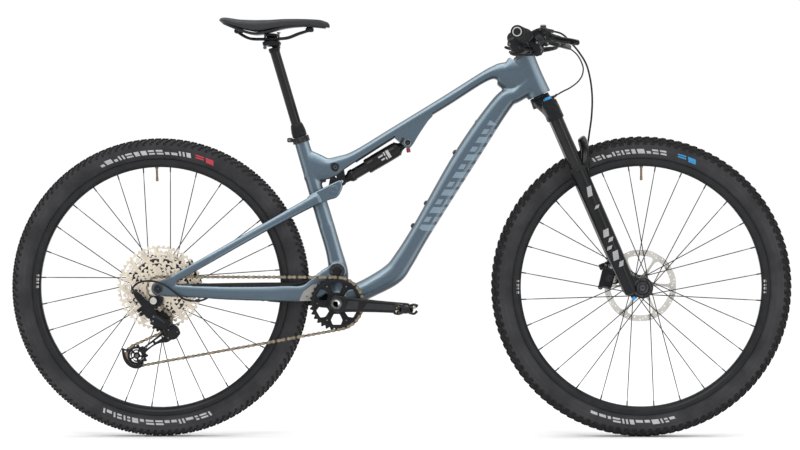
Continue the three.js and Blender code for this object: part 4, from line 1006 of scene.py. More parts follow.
def frame_forms():
    down = [
        (330, 0, 885, 32, 26), (287, 0, 850, 21, 27), (251.6, 0, 827.5, 25, 28), (160.8, 0, 694.5, 29.3, 28),
        (52, 0, 513.3, 24.2, 26),
        (5.1, 0, 436.2, 26.1, 27), (-22, 0, 402.4, 27.5, 28), (-80, 0, 369, 25, 32), (-132, 0, 345, 26, 38),
    ]
    top = [
        (-228, 0, 672, 38, 18), (-185, 0, 663, 31, 19.5), (-150, 0, 677, 21, 20), (-110, 0, 697.5, 14.5, 20),
        (-17, 0, 755, 13.2, 19),
        (107.7, 0, 830.8, 13.4, 20), (205, 0, 892, 13.5, 23), (238, 0, 904, 20, 25), (256, 0, 900, 36, 25),
        (276, 0, 898, 46, 25), (305, 0, 898, 44, 25),
    ]
    low = [(-185.6, 0, 525, 20, 20), (-167, 0, 461.5, 20, 21), (-156, 0, 412, 24, 23),
        (-156, 0, 384, 25, 23.8), (-156, 0, 362, 27, 29), (-158, 0, 335, 27, 36)]
    base, head = head_point(1, 0, 4), head_point(1, 0, 109)
    forms = [
        beam(down, 48, 2.6), beam(top, 40, 2.6), beam(low, 40, 2.4, up=(1, 0, 0)),
        rod(seat_point(11), seat_point(-215), 17.8, 48, 20),
        beam([(*base, 30, 27), (*((base + head) / 2), 28.5, 26), (*head, 30, 26)], 48, 2.1, up=(1, 0, 0)),
        pin(BB, -46, 46, 25, 48), pin(MAIN_PIVOT, -24.4, 24.4, 21.6, 40),
    ]
    return forms


def shock_ears():
    outline = [(-14, 752), (6, 724), (14, 716.5), (22, 716.5), (31, 726.8), (46, 751.7), (68, 784),
        (79, 797), (64, 806)]
    smooth = rounded(outline)
    ear = plate(smooth, 10.6, 17.4, [circle(SHOCK_FRONT, 4.3, 20)], 1.2)
    return merge(ear, mirrored(ear))


def add_main_frame():
    slot = [(-186, 590), (-186, 674), (-172, 688.5), (-142, 690), (-128, 687.5), (-96, 675), (-84, 640),
        (-84, 590)]
    cutters = [
        rod(head_point(0, 0, -40), head_point(0, 0, 140), 15.6, 32),
        rod(head_point(0, 0, 109.2), head_point(0, 0, 160), 30, 32),
        rod(head_point(0, 0, -60), head_point(0, 0, 3.4), 42, 32),
        rod(seat_point(30), seat_point(-276), 15.9, 32),
        pin(BB, -60, 60, 19.5, 32),
        plate(slot, -14.2, 14.2, (), 0.5),
    ]
    build_fused("frame_shell", merge(*frame_forms()), "paint", "frame", ["main_frame"], 2.6,
        5, cutters)
    build("shock_ears", shock_ears(), "paint", "frame")


# ---- Rear triangle, linkage and shock ----
def chainstay_forms():
    right = beam(
        [
            (-604, -78, 371.5, 14, 3.9), (-575, -78, 367.5, 16.5, 4.2), (-540, -78, 365, 15, 4.6),
            (-490, -77.5, 362.5, 15, 5),
            (-430, -71, 359.5, 16.5, 6.5), (-350, -57, 357.5, 18, 7), (-290, -44.5, 357, 19.5, 6),
            (-240, -40, 358, 20, 5.5),
            (-212, -35, 378, 18, 6), (-182, -30.5, 400, 19, 5.2), (-158, -30, 412, 19, 4.8),
        ],
        32,
        2.5,
    )
    dropout = plate(hull_link(REAR, STAY_FLEX, 16.5, 10), -82, -74.2, (), 1.2)
    hanger = plate(circle(REAR, 17.5, 48), -82, -74, (), 1.4)
    boss = pin(MAIN_PIVOT, -35, -25.2, 22.5, 40)
    web = [(-250, 338), (-205, 345), (-180, 362), (-166, 388), (-158, 402), (-190, 402), (-225, 385),
        (-252, 376)]
    yoke = plate(rounded(web), -36.5, -30, (), 2.0)
    side = merge(right, dropout, hanger, boss, yoke)
    bridge = rod((-206, -36, 386), (-206, 36, 386), 8.5, 24)
    return merge(side, mirrored(side), bridge)


def seatstay_forms():
    right = beam(
        [
            (-572, -78, 388, 9, 3.9), (-552, -78, 399, 10, 3.9), (-520, -78, 417, 10.5, 4.2),
            (-470, -75, 445, 10.5, 5.5), (-400, -61, 485, 10.5, 6.5),
            (-320, -43, 530, 11, 7), (-250, -31.5, 568, 12.5, 7.5), (-205, -29.5, 592, 14, 7),
        ],
        32,
        2.1,
    )
    outline = [(-236, 570), (-229, 598), (-190, 619), (-153, 637), (-146, 631), (-146, 617), (-158, 594.5),
        (-178, 588), (-206, 576)]
    lug = plate(rounded(outline), -30, -22.4, (), 2.2)
    side = merge(right, lug, pin(STAY_PIVOT, -30, -14.8, 13, 32))
    return merge(side, mirrored(side))


def cap_bolt(at, y, radius, side=-1, socket=0.45, deep=1.6):
    """A round bolt head with a hexagonal socket, its face at y on the given side."""
    outline = circle(at, radius, 36)
    head = plate(outline, min(y, y - side * 3.2), max(y, y - side * 3.2),
        [circle(at, radius * socket, 6, 0.3)], 0.6)
    bottom = plate(circle(at, radius * 0.9, 30), min(y - side * (deep + 0.1), y - side * 3.1),
        max(y - side * (deep + 0.1), y - side * 3.1), (), 0.1)
    return merge(head, bottom)


def bolt_pair(at, y, radius, socket):
    """The same bolt on the right side and on the left."""
    return merge(cap_bolt(at, -y, radius, -1, socket), cap_bolt(at, y, radius, 1, socket))


def ring_pair(at, inner, outer, y0, y1, sides=64, edge=0.3):
    """The same ring on the right side and on the left."""
    return merge(ring(at, inner, outer, -y1, -y0, sides, edge), ring(at, inner, outer, y0, y1, sides, edge))


def add_rear_triangle():
    """Chainstays, seatstays, their bolts and seals, the rear axle and the guards."""
    bores = [
        pin(REAR, -100, -60, 6.6, 32), pin(REAR, 60, 100, 6.6, 32),
        pin(MAIN_PIVOT, -60, -20, 7, 32), pin(MAIN_PIVOT, 20, 60, 7, 32),
    ]
    build_fused("chainstay_yoke", chainstay_forms(), "paint", "swingarm", ["chainstays"],
        2.2, 4, bores)
    upper = build_fused("seatstay_wishbone", seatstay_forms(), "paint", None, [], 2.0, 4)
    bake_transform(upper)
    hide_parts("seatstays")
    pivots = merge(*[cap_bolt(STAY_PIVOT, y, 9.5, s) for s, y in ((-1, -31.2), (1, 31.2))],
        pin(STAY_PIVOT, -22, 22, 5, 20))
    build("stay_pivot_bolts", pivots, "paint", "seatstay_unit")
    washers = ring_pair(STAY_PIVOT, 6, 12, 29.6, 30.6)
    build("stay_pivot_washers", washers, "paint", "seatstay_unit")
    main = merge(*[cap_bolt(MAIN_PIVOT, y, 11.5, s) for s, y in ((-1, -38.4), (1, 38.4))],
        pin(MAIN_PIVOT, -36, 36, 6.4, 20))
    build("main_pivot_bolts", main, "anodised", "frame")
    build("main_pivot_seals", ring_pair(MAIN_PIVOT, 8, 19, 34.9, 36.2), "anodised", "swingarm")
    axle_rows = [(0.6, -87), (9.6, -87), (11, -85.8), (11, -82.3), (6, -82.2), (6, 82.2), (10, 82.4),
        (10, 84.4), (9.2, 85), (0.6, 85)]
    build("rear_through_axle", lathe(axle_rows, REAR, 48), "anodised", "swingarm",
        ["rear_axle"])
    build("rear_axle_caps", merge(cap_bolt(REAR, -87.6, 7.4, -1, 0.5), cap_bolt(REAR, 85.6, 6.4, 1, 0.5)),
        "anodised", "swingarm")
    guard_rows = [
        (-545, -75, 377.4, 2.6, 3.4), (-490, -74.6, 378, 5.4, 3.6), (-430, -68, 378.5, 6.0, 4.0),
        (-350, -54, 379, 6.0, 4.4),
        (-292, -42, 379.4, 5.4, 4.0), (-258, -38, 382, 4.4, 3.6), (-222, -35.6, 391, 2.6, 3.0),
    ]
    build("chainstay_guard", beam(guard_rows, 20, 3.5), "plastic", "swingarm")
    scuff = plate([(-240, 363), (-217, 380), (-200, 383), (-213, 369), (-219, 352), (-220, 339), (-251, 339),
        (-247, 350)], -46.4, -45.4, [circle((-232, 350), 2.0, 12)], 0.3)
    build("chain_guard_plate", scuff, "scuff", "swingarm")


def caliper(rotor_y):
    """A two-piston brake caliper in the disc's own frame, +X away from the axle."""
    outer = beam([(-15, rotor_y + 8, -20, 7, 4.8), (-12, rotor_y + 8, 0, 8.5, 5),
        (-15, rotor_y + 8, 20, 7, 4.8)], 24, 3, up=(1, 0, 0))
    forms = [
        box(-16, 17, rotor_y - 12, rotor_y - 2.6, -24, 24, 3),
        box(-16, 17, rotor_y + 2.6, rotor_y + 13.2, -24, 24, 3),
        box(12.6, 17, rotor_y - 11, rotor_y + 12, -24, 24, 2),
        box(5, 16.8, rotor_y + 4, rotor_y + 13, -34, 34, 3),
        outer,
    ]
    return merge(*forms)


def caliper_details(rotor_y):
    """The caliper's caps, its bolts with the hose fitting, and its pads with cooling fins."""
    face = rotor_y - 12.0
    caps = merge(
        rod((-3, face - 1.2, 0), (-3, face + 0.4, 0), 9.5, 36),
        rod((-3, rotor_y + 12.6, 0), (-3, rotor_y + 13.9, 0), 9.5, 36),
    )
    bolts = merge(*[rod((11, rotor_y + 2, z), (11, rotor_y + 15.2, z), 3.4, 20) for z in (-29, 29)])
    banjo = merge(rod((2, rotor_y + 8, -22), (2, rotor_y + 8, -33), 4.6, 24),
        rod((2, rotor_y + 8, 20), (2, rotor_y + 8, 26), 3, 6))
    pads = box(-20, -15, rotor_y - 2.4, rotor_y - 1.2, -9, 9, 0.3)
    fins = merge(*[box(-25 + k * 0.4, -15, rotor_y - 2.4, rotor_y - 1.4, -8 + 4 * k, -6.6 + 4 * k, 0.3)
        for k in range(5)])
    return caps, merge(bolts, banjo), merge(pads, fins)


def place_rear_caliper(p):
    return moved(turned(p, 0.42, (0, 0)), REAR[0] + 70, 0, REAR[1] + 31)


def beside_fork_axle(p):
    """From the caliper's own frame to its place on the fork leg, in the steering axis's frame."""
    return moved(turned(p, -(math.pi + 0.65), (0, 0)), FORK_AXLE[0] - 67, 0, FORK_AXLE[1] + 51)


def place_front_caliper(p):
    return steered(beside_fork_axle(p))


def add_calipers():
    """Both brake calipers with their caps, bolts and pads."""
    for name, rotor_y, put, body in (("rear", 59.0, place_rear_caliper, "swingarm"),
        ("front", 44.7, place_front_caliper, "fork_lower_legs")):
        form = put(caliper(rotor_y))
        build_fused(name + "_caliper_body", form, "black", body, [name + "_caliper"], 0.9, 3)
        caps, bolts, pads = (put(p) for p in caliper_details(rotor_y))
        build(name + "_caliper_caps", caps, "anodised", body)
        build(name + "_caliper_bolts", bolts, "gunmetal", body)
        build(name + "_brake_pads", pads, "steel", body)


def shock_point(distance):
    """A point on the shock's line, that far from its front eye."""
    a, b = np.array([SHOCK_FRONT[0], 0, SHOCK_FRONT[1]]), np.array([SHOCK_REAR[0], 0, SHOCK_REAR[1]])
    return a + (b - a) * distance / np.linalg.norm(b - a)


def along_shock(rows, sides=48):
    """A profile of [distance from the front eye, radius] turned about the shock."""
    a, b = shock_point(0), shock_point(100)
    d = unit(b - a)
    side = np.array([0, 1.0, 0])
    up = np.cross(d, side)
    angles = np.arange(sides) / sides * 2 * math.pi
    disc = np.outer(np.cos(angles), side) + np.outer(np.sin(angles), up)
    return shell([shock_point(t) + disc * r for t, r in rows])


def add_linkage():
    """Rocker, shock and the bolts and covers round them."""
    plate_rows = []
    for y0, y1 in ((-13.6, -10), (10, 13.6)):
        window = circle(((ROCKER_PIVOT[0] + STAY_PIVOT[0]) / 2 + 2,
            (ROCKER_PIVOT[1] + STAY_PIVOT[1]) / 2 + 3), 5.5, 24)
        plate_rows.append(plate(hull_link(ROCKER_PIVOT, STAY_PIVOT, 12.5, 15), y0, y1,
            [circle(STAY_PIVOT, 12, 40), window, circle(ROCKER_PIVOT, 5.8, 24)], 0.7))
        plate_rows.append(plate(hull_link(ROCKER_PIVOT, SHOCK_REAR, 12.4, 9.5), y0 + 0.05, y1 - 0.05,
            [circle(STAY_PIVOT, 12.2, 40), circle(ROCKER_PIVOT, 5.9, 24)], 0.7))
    barrel = ring(ROCKER_PIVOT, 5.8, 10, -12, 12, 40)
    build("rocker_plates", merge(*plate_rows, barrel), "anodised", "rocker_link", ["rocker"])
    build("rocker_shock_bolt", pin(SHOCK_REAR, -14.0, 14.0, 4, 24), "steel", "rocker_link")
    build("rocker_pivot_bolt", pin(ROCKER_PIVOT, -16, 16, 5, 24), "gunmetal", "frame")
    body_rows = [
        (28, 17.2), (29, 18.4), (32, 18.9), (34, 18.2), (36, 18.9), (60, 19.2), (96, 19.2), (98, 18.6),
        (100, 19.3), (103, 18.5), (105, 19.3), (108, 18.5), (110, 19.3), (114.5, 19.3), (116, 18),
        (116, 15.2), (60, 15.2), (28, 15.2),
    ]
    build("shock_air_can", along_shock(body_rows + [body_rows[0]]), "gloss", "shock_body",
        ["shock_can"])
    neck = merge(along_shock([(4, 6), (6, 8.4), (14, 8.8), (22, 11), (26, 15), (30, 16.5), (31, 15)]),
        ring(SHOCK_FRONT, 4.6, 10.5, -9.2, 9.2, 48, 1.0))
    build("shock_head", neck, "anodised", "shock_body")
    lever = merge(rod(shock_point(24) + (3, -16, 10), shock_point(24) + (10, -16, 24), 3.4, 20),
        rod(shock_point(20) + (-2, 0, -14), shock_point(20) + (-6, 0, -20), 4, 24))
    build("shock_valve", lever, "anodised", "shock_body")
    shaft = along_shock([(76, 13), (77, 15), (84, 15), (85, 14.2), (158, 14.2), (160, 13)])
    build("shock_damper_shaft", shaft, "stanchion", "shock_rod", ["shock_shaft"])
    rear_head = merge(along_shock([(154.4, 12), (155.4, 15.5), (160, 15.8), (165, 15), (172, 10), (184, 8.6),
        (186, 6)]), ring(SHOCK_REAR, 8.1, 11, -9.2, 9.2, 40, 0.8))
    build("shock_rear_head", rear_head, "anodised", "shock_rod")
    seal = along_shock([(115.5, 15), (115.5, 18.8), (118, 18.2), (119, 15.0)])
    build("shock_wiper", seal, "plastic", "shock_body")
    marks = []
    for start, stop, a0, a1 in ((52, 60, 4.1, 5.2), (63, 66, 4.1, 4.6), (63, 66, 4.8, 5.2),
        (69, 82, 4.3, 4.5), (69, 78, 4.8, 5.0)):
        a, b = shock_point(0), shock_point(100)
        d = unit(b - a)
        side, up = np.array([0, 1.0, 0]), np.cross(d, (0, 1.0, 0))
        rows = []
        for t in (start, stop):
            arc = [(a0 - 1.55 + (a1 - a0) * k / 4) for k in range(5)]
            rim_out = [shock_point(t) + 19.35 * (-math.cos(w - 3.1) * side + math.sin(w - 3.1) * up)
                for w in arc]
            rim_in = [shock_point(t) + 18.6 * (-math.cos(w - 3.1) * side + math.sin(w - 3.1) * up)
                for w in reversed(arc)]
            rows.append(rim_out + rim_in)
        marks.append(skin(rows))
    build("shock_marks", merge(*marks), "marks", "shock_body")
    dial_a, dial_b = np.array([20, 0, 702.0]), np.array([18, 0, 715.6])
    knurl = merge(rod(dial_a * 0.75 + dial_b * 0.25, dial_b, 4.4, 24),
        *[rod(dial_a * 0.7 + dial_b * 0.3 + o, dial_b + o, 0.8, 8)
            for o in [np.array([4.3 * math.cos(t), 4.3 * math.sin(t), 0.0]) for t in np.arange(10) * 0.628]])
    build("rebound_knob", knurl, "red", "rebound_dial", ["shock_rebound_dial"])
    bolts = merge(bolt_pair(SHOCK_FRONT, 18.6, 6.6, 0.6),
        pin(SHOCK_FRONT, -17, 17, 4, 20))
    build("shock_mount_bolt", bolts, "anodised", "frame")
    collars = ring_pair(SHOCK_FRONT, 6.8, 9.2, 17.3, 18.9, 40, 0.5)
    build("shock_mount_collars", collars, "gunmetal", "frame")
    recess = [(-174, 677), (-164, 680.5), (-154, 676.5), (-153, 668), (-160, 658.5), (-171, 663)]
    cover = plate(rounded(recess), -20.6, -16.0, (), 0.5)
    build("linkage_cover", merge(cover, mirrored(cover)), "anodised", "frame")
    covered = bolt_pair((-162, 669), 22.2, 4.6, 0.5)
    build("linkage_cover_bolts", covered, "gunmetal", "frame")


# ---- Seat post and saddle ----
def turned_on(a, b, rows, sides=48):
    """A profile of [distance, radius] turned about the line from a towards b."""
    a, b = np.asarray(a, float), np.asarray(b, float)
    d = unit(b - a)
    side = unit(np.cross(d, (0.1, 0.99, 0.05)))
    up = np.cross(d, side)
    angles = np.arange(sides) / sides * 2 * math.pi
    disc = np.outer(np.cos(angles), side) + np.outer(np.sin(angles), up)
    return shell([a + d * t + disc * r for t, r in rows])


def add_seat():
    base, up = seat_point(0), seat_point(100)
    clamp = turned_on(base, up, [(-3, 19.0), (-3, 20.6), (-2, 21.5), (11, 21.5), (12, 20.6), (12, 19.0),
        (4, 19.0), (-3, 19.0)])
    lug = box(-282, -268.6, -8.6, 8.6, 730.6, 742, 2)
    build("seat_clamp_band", merge(clamp, lug), "anodised", "frame", ["seat_clamp"])
    build("seat_clamp_screw", rod((-276, -10.6, 736), (-276, 10.6, 736), 3.2, 20), "gunmetal", "frame")
    collar = turned_on(base, up, [(13, 14.2), (13, 17.0), (14, 18.2), (26, 18.2), (30, 17.6), (38, 16.4),
        (42, 15.4), (43, 14.6), (43, 13.1), (13, 13.1)])
    sleeve = turned_on(base, up, [(-272, 13.2), (-272, 15.4), (14, 15.4), (14, 13.2)])
    build("dropper_collar", merge(collar, sleeve), "black", "frame", ["dropper_outer_tube"])
    build("dropper_seal", turned_on(base, up, [(42.6, 12.8), (42.6, 15.0), (45.4, 14.2), (46.2, 12.8)]),
        "plastic", "frame")
    post = turned_on(base, up, [(-112, 11), (-111, 12.5), (239, 12.5), (240, 11)])
    build("dropper_shaft", post, "stanchion", "seat", ["dropper_stanchion"])
    head_rows = [(230, 12.4), (233, 13.6), (240, 14.2), (243, 13.6)]
    yoke = merge(
        turned_on(base, up, head_rows),
        beam([(-340, 0, 974.6, 5.4, 29), (-330, 0, 977, 7.4, 29.4), (-320, 0, 978, 8, 29.4),
            (-310, 0, 977, 7.4, 29.4), (-300, 0, 974.6, 5.4, 29)], 32, 4, up=(0, 0, 1)),
        beam([(-334, 0, 996.4, 3.2, 28), (-320, 0, 997.4, 4.0, 29), (-306, 0, 996.4, 3.2, 28)], 32, 4),
        box(-333, -307, -11, 11, 968, 996, 3),
    )
    grooves = [tube(rail_path(s), 3.7, 16, 4) for s in (-1, 1)]
    build_fused("saddle_clamp", yoke, "black", "seat", [], 1.2, 3, grooves)
    bolts = merge(*[rod((x, 0, 962), (x, 0, 1004), 2.6, 16) for x in (-337, -303)],
        *[rod((x, 0, 1001), (x, 0, 1004.4), 4.6, 20) for x in (-337, -303)],
        *[rod((x, -7, 966), (x, 7, 966), 4.4, 20) for x in (-337, -303)])
    build("saddle_clamp_bolts", bolts, "gunmetal", "seat")
    rails = merge(*[tube(rail_path(s), 3.4, 20, 6) for s in (-1, 1)])
    build("saddle_rail_pair", rails, "black", "seat", ["saddle_rails"])
    add_saddle()


def rail_path(side):
    half = [
        (-404, 22, 1006), (-398, 22, 1000.5), (-386, 22, 993), (-370, 22, 987.6), (-345, 22, 986.8),
        (-300, 22, 987.8), (-278, 22, 990.5), (-255, 18, 999.5), (-236, 12, 1005.5), (-222, 6, 1010),
    ]
    return [(x, side * y, z) for x, y, z in half]


def saddle_section(x):
    """Top, underside and half width of the saddle at a station along it."""
    rows = [
        (-447.5, 1037.5, 1031, 30), (-444, 1040, 1027, 46), (-430, 1040.3, 1020, 63),
        (-400, 1036.0, 1008, 69.6),
        (-380, 1035.0, 1001, 68.0), (-360, 1034.6, 997.5, 64.5), (-342, 1034.8, 999, 58.0),
        (-320, 1035.4, 1004.5, 49.5),
        (-285, 1037.6, 1013, 34.5), (-240, 1037.8, 1017.5, 24.5), (-205, 1035.4, 1015, 19.6),
        (-184, 1029.6, 1013, 14.4), (-177.6, 1024.5, 1013, 9.6), (-175.9, 1020.6, 1014.5, 5.0),
    ]
    table = spline(rows, 8)
    return [np.interp(x, table[:, 0], table[:, k]) for k in (1, 2, 3)]


def add_saddle():
    """A long padded cover with a centre groove, on a hard shell with rail sockets."""
    stations = np.concatenate([np.linspace(-447.5, -430, 10), np.linspace(-425, -190, 60),
        np.linspace(-187, -175.9, 10)])
    sides = 72
    rings = []
    for x in stations:
        top, low, wide = saddle_section(x)
        row = []
        for k in range(sides):
            t = (k + 0.5) / sides * 2 * math.pi
            c, s = math.cos(t), math.sin(t)
            y = wide * math.copysign(abs(s) ** 0.78, s)
            middle = (top + low) / 2
            half = (top - low) / 2
            z = middle + half * math.copysign(abs(c) ** 0.62, c)
            if c > 0:
                groove = 4.2 * math.exp(-((y / 8.5) ** 2)) * np.interp(x, (-440, -400, -250, -200),
                    (0.2, 1.0, 1.0, 0.0))
                crown = 3.2 * (abs(y) / max(wide, 1)) ** 2.2
                z -= (groove + crown * 0.4) * min(1.0, c * 3)
            else:
                hollow = np.interp(x, (-430, -380, -340, -285), (0.0, 11.0, 10.0, 2.0))
                z += hollow * (1 - (abs(y) / max(wide, 1)) ** 2) * min(1.0, -c * 3)
            row.append((x, y, z))
        rings.append(row)
    cover = build("saddle_cover", skin(rings), "leather", "seat", ["saddle"], sharp=60)
    seams = []
    for side in (-1, 1):
        line = []
        for x in np.linspace(-436, -196, 26):
            top, low, wide = saddle_section(x)
            line.append((x, side * wide * 0.93, (top + low) / 2 + (top - low) * 0.36 + 0.5))
        seams.append(tube(line, 0.55, 6, 2))
    build("saddle_piping", merge(*seams), "plastic", "seat")
    base_rings = []
    base_section = ((-1, 3.5), (-0.94, -1.8), (-0.5, -2.6), (0.5, -2.6), (0.94, -1.8), (1, 3.5), (0.5, 4.5),
        (-0.5, 4.5))
    for x in np.linspace(-438, -186, 40):
        top, low, wide = saddle_section(x)
        base_rings.append([(x, (wide - 2.0) * share, low + 1.5 + z) for share, z in base_section])
    build("saddle_base_shell", skin(base_rings), "carbon", "seat")
    rear_block = box(-412, -392, -27, 27, 1001, 1012, 3)
    front_block = box(-236, -216, -11, 11, 1004, 1016, 3)
    build("saddle_rail_sockets", merge(rear_block, front_block), "plastic", "seat")
    places = ((-447, 16, 1034), (-447.5, 9, 1034), (-447, 23, 1034))
    dots = merge(*[rod((x, s * y, z), (x - 2.2, s * y, z - 0.6), 1.5, 10) for s in (-1, 1)
        for x, y, z in places])
    build("saddle_rear_studs", dots, "gunmetal", "seat")


# ---- Drivetrain ----
def pitch_radius(teeth):
    """The radius at which the chain's pins run."""
    return PITCH / (2 * math.sin(math.pi / teeth))


def cog_y(i):
    """The plane of a cog, counted from the largest."""
    return COG_Y - COG_SPACING * i


def tooth_outline(at, teeth, depth=3.4, tip=2.3, narrow=1.0):
    """A sprocket's outline, its teeth rounded over the tips."""
    root = pitch_radius(teeth) - depth
    height = depth + tip
    profile = [(-0.5, 0.0), (-0.34, 0.28), (-0.21, 0.8), (-0.09, 1.0), (0.09, 1.0), (0.21, 0.8), (0.34, 0.28)]
    points = []
    for k in range(teeth):
        for fraction, rise in profile:
            angle = (k + fraction * (narrow if rise > 0.5 else 1.0)) * 2 * math.pi / teeth
            r = root + height * rise
            points.append((at[0] + r * math.cos(angle), at[1] + r * math.sin(angle)))
    return points


def add_cassette():
    """Twelve cogs with their windows, the carrier arms, black discs as painted shade between cogs, the core
    and the lockring.
    """
    forms = []
    for i, teeth in enumerate(COGS):
        y, r = cog_y(i), pitch_radius(teeth)
        inner = pitch_radius(COGS[i + 1]) - 11 if i + 1 < len(COGS) else 15.2
        inner = max(inner, 15.2)
        holes = [circle(REAR, inner, 64)]
        if i < 6:
            count = (17, 15, 13, 11, 10, 8)[i]
            low, high = max(inner + 3.2, 19.5), r - 5.6
            for k in range(count):
                middle = (k + 0.31 * i) * 2 * math.pi / count
                half = 0.34 * 2 * math.pi / count
                holes.append(sector(REAR, low, high, middle - half, middle + half, 4))
        forms.append(plate(tooth_outline(REAR, teeth), y - 0.95, y + 0.95, holes, 0.35))
    build("cassette_cogs", merge(*forms), "cassette", "cassette_unit", ["cassette"])
    arms = []
    for plane, count, reach, wide in ((0, 7, 82, 7), (2, 7, 62, 6), (4, 6, 44, 6)):
        y = cog_y(plane) - COG_SPACING / 2
        arm = plate(hull_link((REAR[0] + 20, REAR[1]), (REAR[0] + reach, REAR[1]), wide, 2.6), y - 0.7,
            y + 0.7, (), 0.3)
        arms.append(around(arm, REAR, count, 0.2 * plane))
    # Thin black discs between the middle cogs: painted shade in the gaps between the cogs.
    for i in (2, 3, 4, 5, 6):
        y = cog_y(i) + 1.7
        arms.append(ring(REAR, 15.2, pitch_radius(COGS[i]) - 7.5, y - 0.4, y + 0.4, 72, 0.1))
    build("cassette_carriers_and_painted_shade_discs", merge(*arms), "anodised", "cassette_unit")
    core = [(14, -31), (24, -31), (24, -46), (19.5, -47), (19.5, -58), (15.4, -59), (15.4, -70), (14, -70),
        (14, -31)]
    build("cassette_core", lathe(core, REAR, 64), "cassette", "cassette_unit")
    lock = merge(ring(REAR, 11, 15.6, -72.4, -69.8, 48, 0.5),
        around(box(REAR[0] + 11.6, REAR[0] + 13.4, -72.8, -71, REAR[1] - 0.8, REAR[1] + 0.8, 0.2), REAR, 12))
    build("cassette_lockring", lock, "gunmetal", "cassette_unit")


